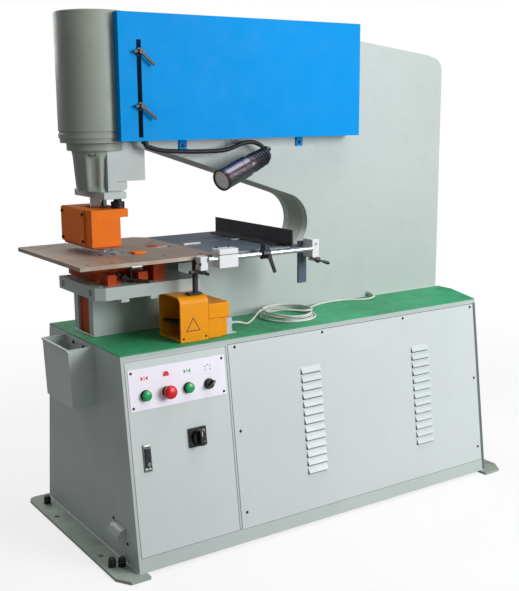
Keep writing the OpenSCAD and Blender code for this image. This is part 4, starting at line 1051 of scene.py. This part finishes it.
def makeCabinetTrim():
    c = cabinet
    pipe("endWeld", [Vector((c["x0"] - 0.0008, -0.362, 0.0112)), Vector((c["x0"] - 0.0008, 0.362, 0.0112))],
         c["bead"], "body", "machine", 3)
    pipe("armWeldFront", [Vector((-0.700, -0.0006, 0.6778)), Vector((0.818, -0.0006, 0.6778))],
         c["armBead"], "body", "machine", 3)
    pipe("armWeldEnd", [Vector((-0.7026, 0.002, 0.6778)), Vector((-0.7026, 0.148, 0.6778))],
         c["armBead"], "body", "machine", 3)
    rim = [(c["x0"] - 0.002, -0.0816), (c["x0"] - 0.0800, -0.0816), (c["x0"] - 0.0828, -0.0790),
           (c["x0"] - 0.0828, 0.1260), (c["x0"] - 0.0800, 0.1286), (c["x0"] - 0.002, 0.1286)]
    pipe("binRim", [(x, y, c["rimTop"]) for x, y in rim], c["armBead"], "panel", "machine", 4)
    bm = bmesh.new()
    for y in (-0.019, 0.060):
        screwInto(bm, (c["x0"] - 0.0052, y, 0.655), (-1, 0, 0), 0.0062, 0.0034)
    for y, z in ((-0.190, 0.132), (-0.187, 0.106), (-0.286, 0.080)):
        screwInto(bm, (c["x0"] - 0.0001, y, z), (-1, 0, 0), 0.0052, 0.0034)
    fromBmesh("endScrews", bm, "blackSteel", "machine", 40)
    bm = bmesh.new()
    steps = 10
    (left, right), out = c["strip"], frontWay * 0.0004
    for k in range(steps):
        za, zb = (c["stripLow"] + (c["stripHigh"] - c["stripLow"]) * (k + j) / steps for j in (0, 1))
        quad = [frontSpot(x, z, 0.0001) for x, z in ((left, za), (right, za), (right, zb), (left, zb))]
        base = [bm.verts.new(v) for v in quad]
        raised = [bm.verts.new(v + out) for v in quad]
        bm.faces.new(raised)
        skin(bm, base, raised)
    fromBmesh("endShadowStrip", bm, "machine", "machine", 0)


louvres = {"x": (-0.087, 0.414), "wide": 0.080, "low": 0.178, "pitch": 0.0285, "count": 13}


def makePanelShadows():
    k = louvres
    bm = bmesh.new()
    # Dark strips just under each louvre hood: painted shadow cast by the louvres
    for x in k["x"]:
        for i in range(k["count"]):
            z = k["low"] + i * k["pitch"]
            place = frontPlace(x + k["wide"] / 2, z - 0.0008, 0.0001)
            extrude(bm, roundedBox(k["wide"] + 0.002, 0.0056, 0.001), 0.0003, place)
    fromBmesh("louvreShadowStrips", bm, "machine", "machine", 0)
    # Dark strips along the panel's side edges and top edge: painted shade in the gaps around the panel
    bm = bmesh.new()
    low, high = 0.057, 0.656
    tall = (high - low) / math.cos(lean)
    for x in (-0.3672, 0.7437):
        extrude(bm, roundedBox(0.0018, tall, 0.0004), 0.0003, frontPlace(x, (low + high) / 2, 0.0001))
    extrude(bm, roundedBox(1.109, 0.0018, 0.0004), 0.0003, frontPlace(0.1885, high + 0.0032, 0.0001))
    fromBmesh("panelGapShade", bm, "machine", "machine", 0)


makeFrameTrim()
makeCabinetTrim()
makePanelShadows()
print("trim made")


# Floor

floorFacts = {"size": 9, "clear": 0.74, "fadeFrom": 1.5, "fadeTo": 3.2}


def makeFloor():
    f = floorFacts
    bm = bmesh.new()
    bmesh.ops.create_grid(bm, x_segments=1, y_segments=1, size=f["size"])
    mesh = bpy.data.meshes.new("floor")
    bm.to_mesh(mesh)
    bm.free()
    g = Graph("paleFloor")
    base = g.ramp(g.noise(1.2, 3), (0.84, 0.84, 0.84), (0.88, 0.88, 0.88))
    g.link(base, g.shader.inputs["Base Color"])
    g.shader.inputs["Roughness"].default_value = 0.9
    # The floor thins out to the backdrop away from the machine
    away = g.add("VectorMath")
    away.operation = "LENGTH"
    g.link(g.place.outputs["Object"], away.inputs[0])
    thin = g.span(away.outputs["Value"], f["clear"], 1.0, f["fadeFrom"], f["fadeTo"])
    blend, through = g.add("MixShader"), g.add("BsdfTransparent")
    g.link(thin, blend.inputs[0])
    g.link(g.shader.outputs[0], blend.inputs[1])
    g.link(through.outputs[0], blend.inputs[2])
    g.link(blend.outputs[0], g.tree.nodes["Material Output"].inputs[0])
    mesh.materials.append(g.mat)
    ob = bpy.data.objects.new("floor", mesh)
    scene.collection.objects.link(ob)


makeFloor()
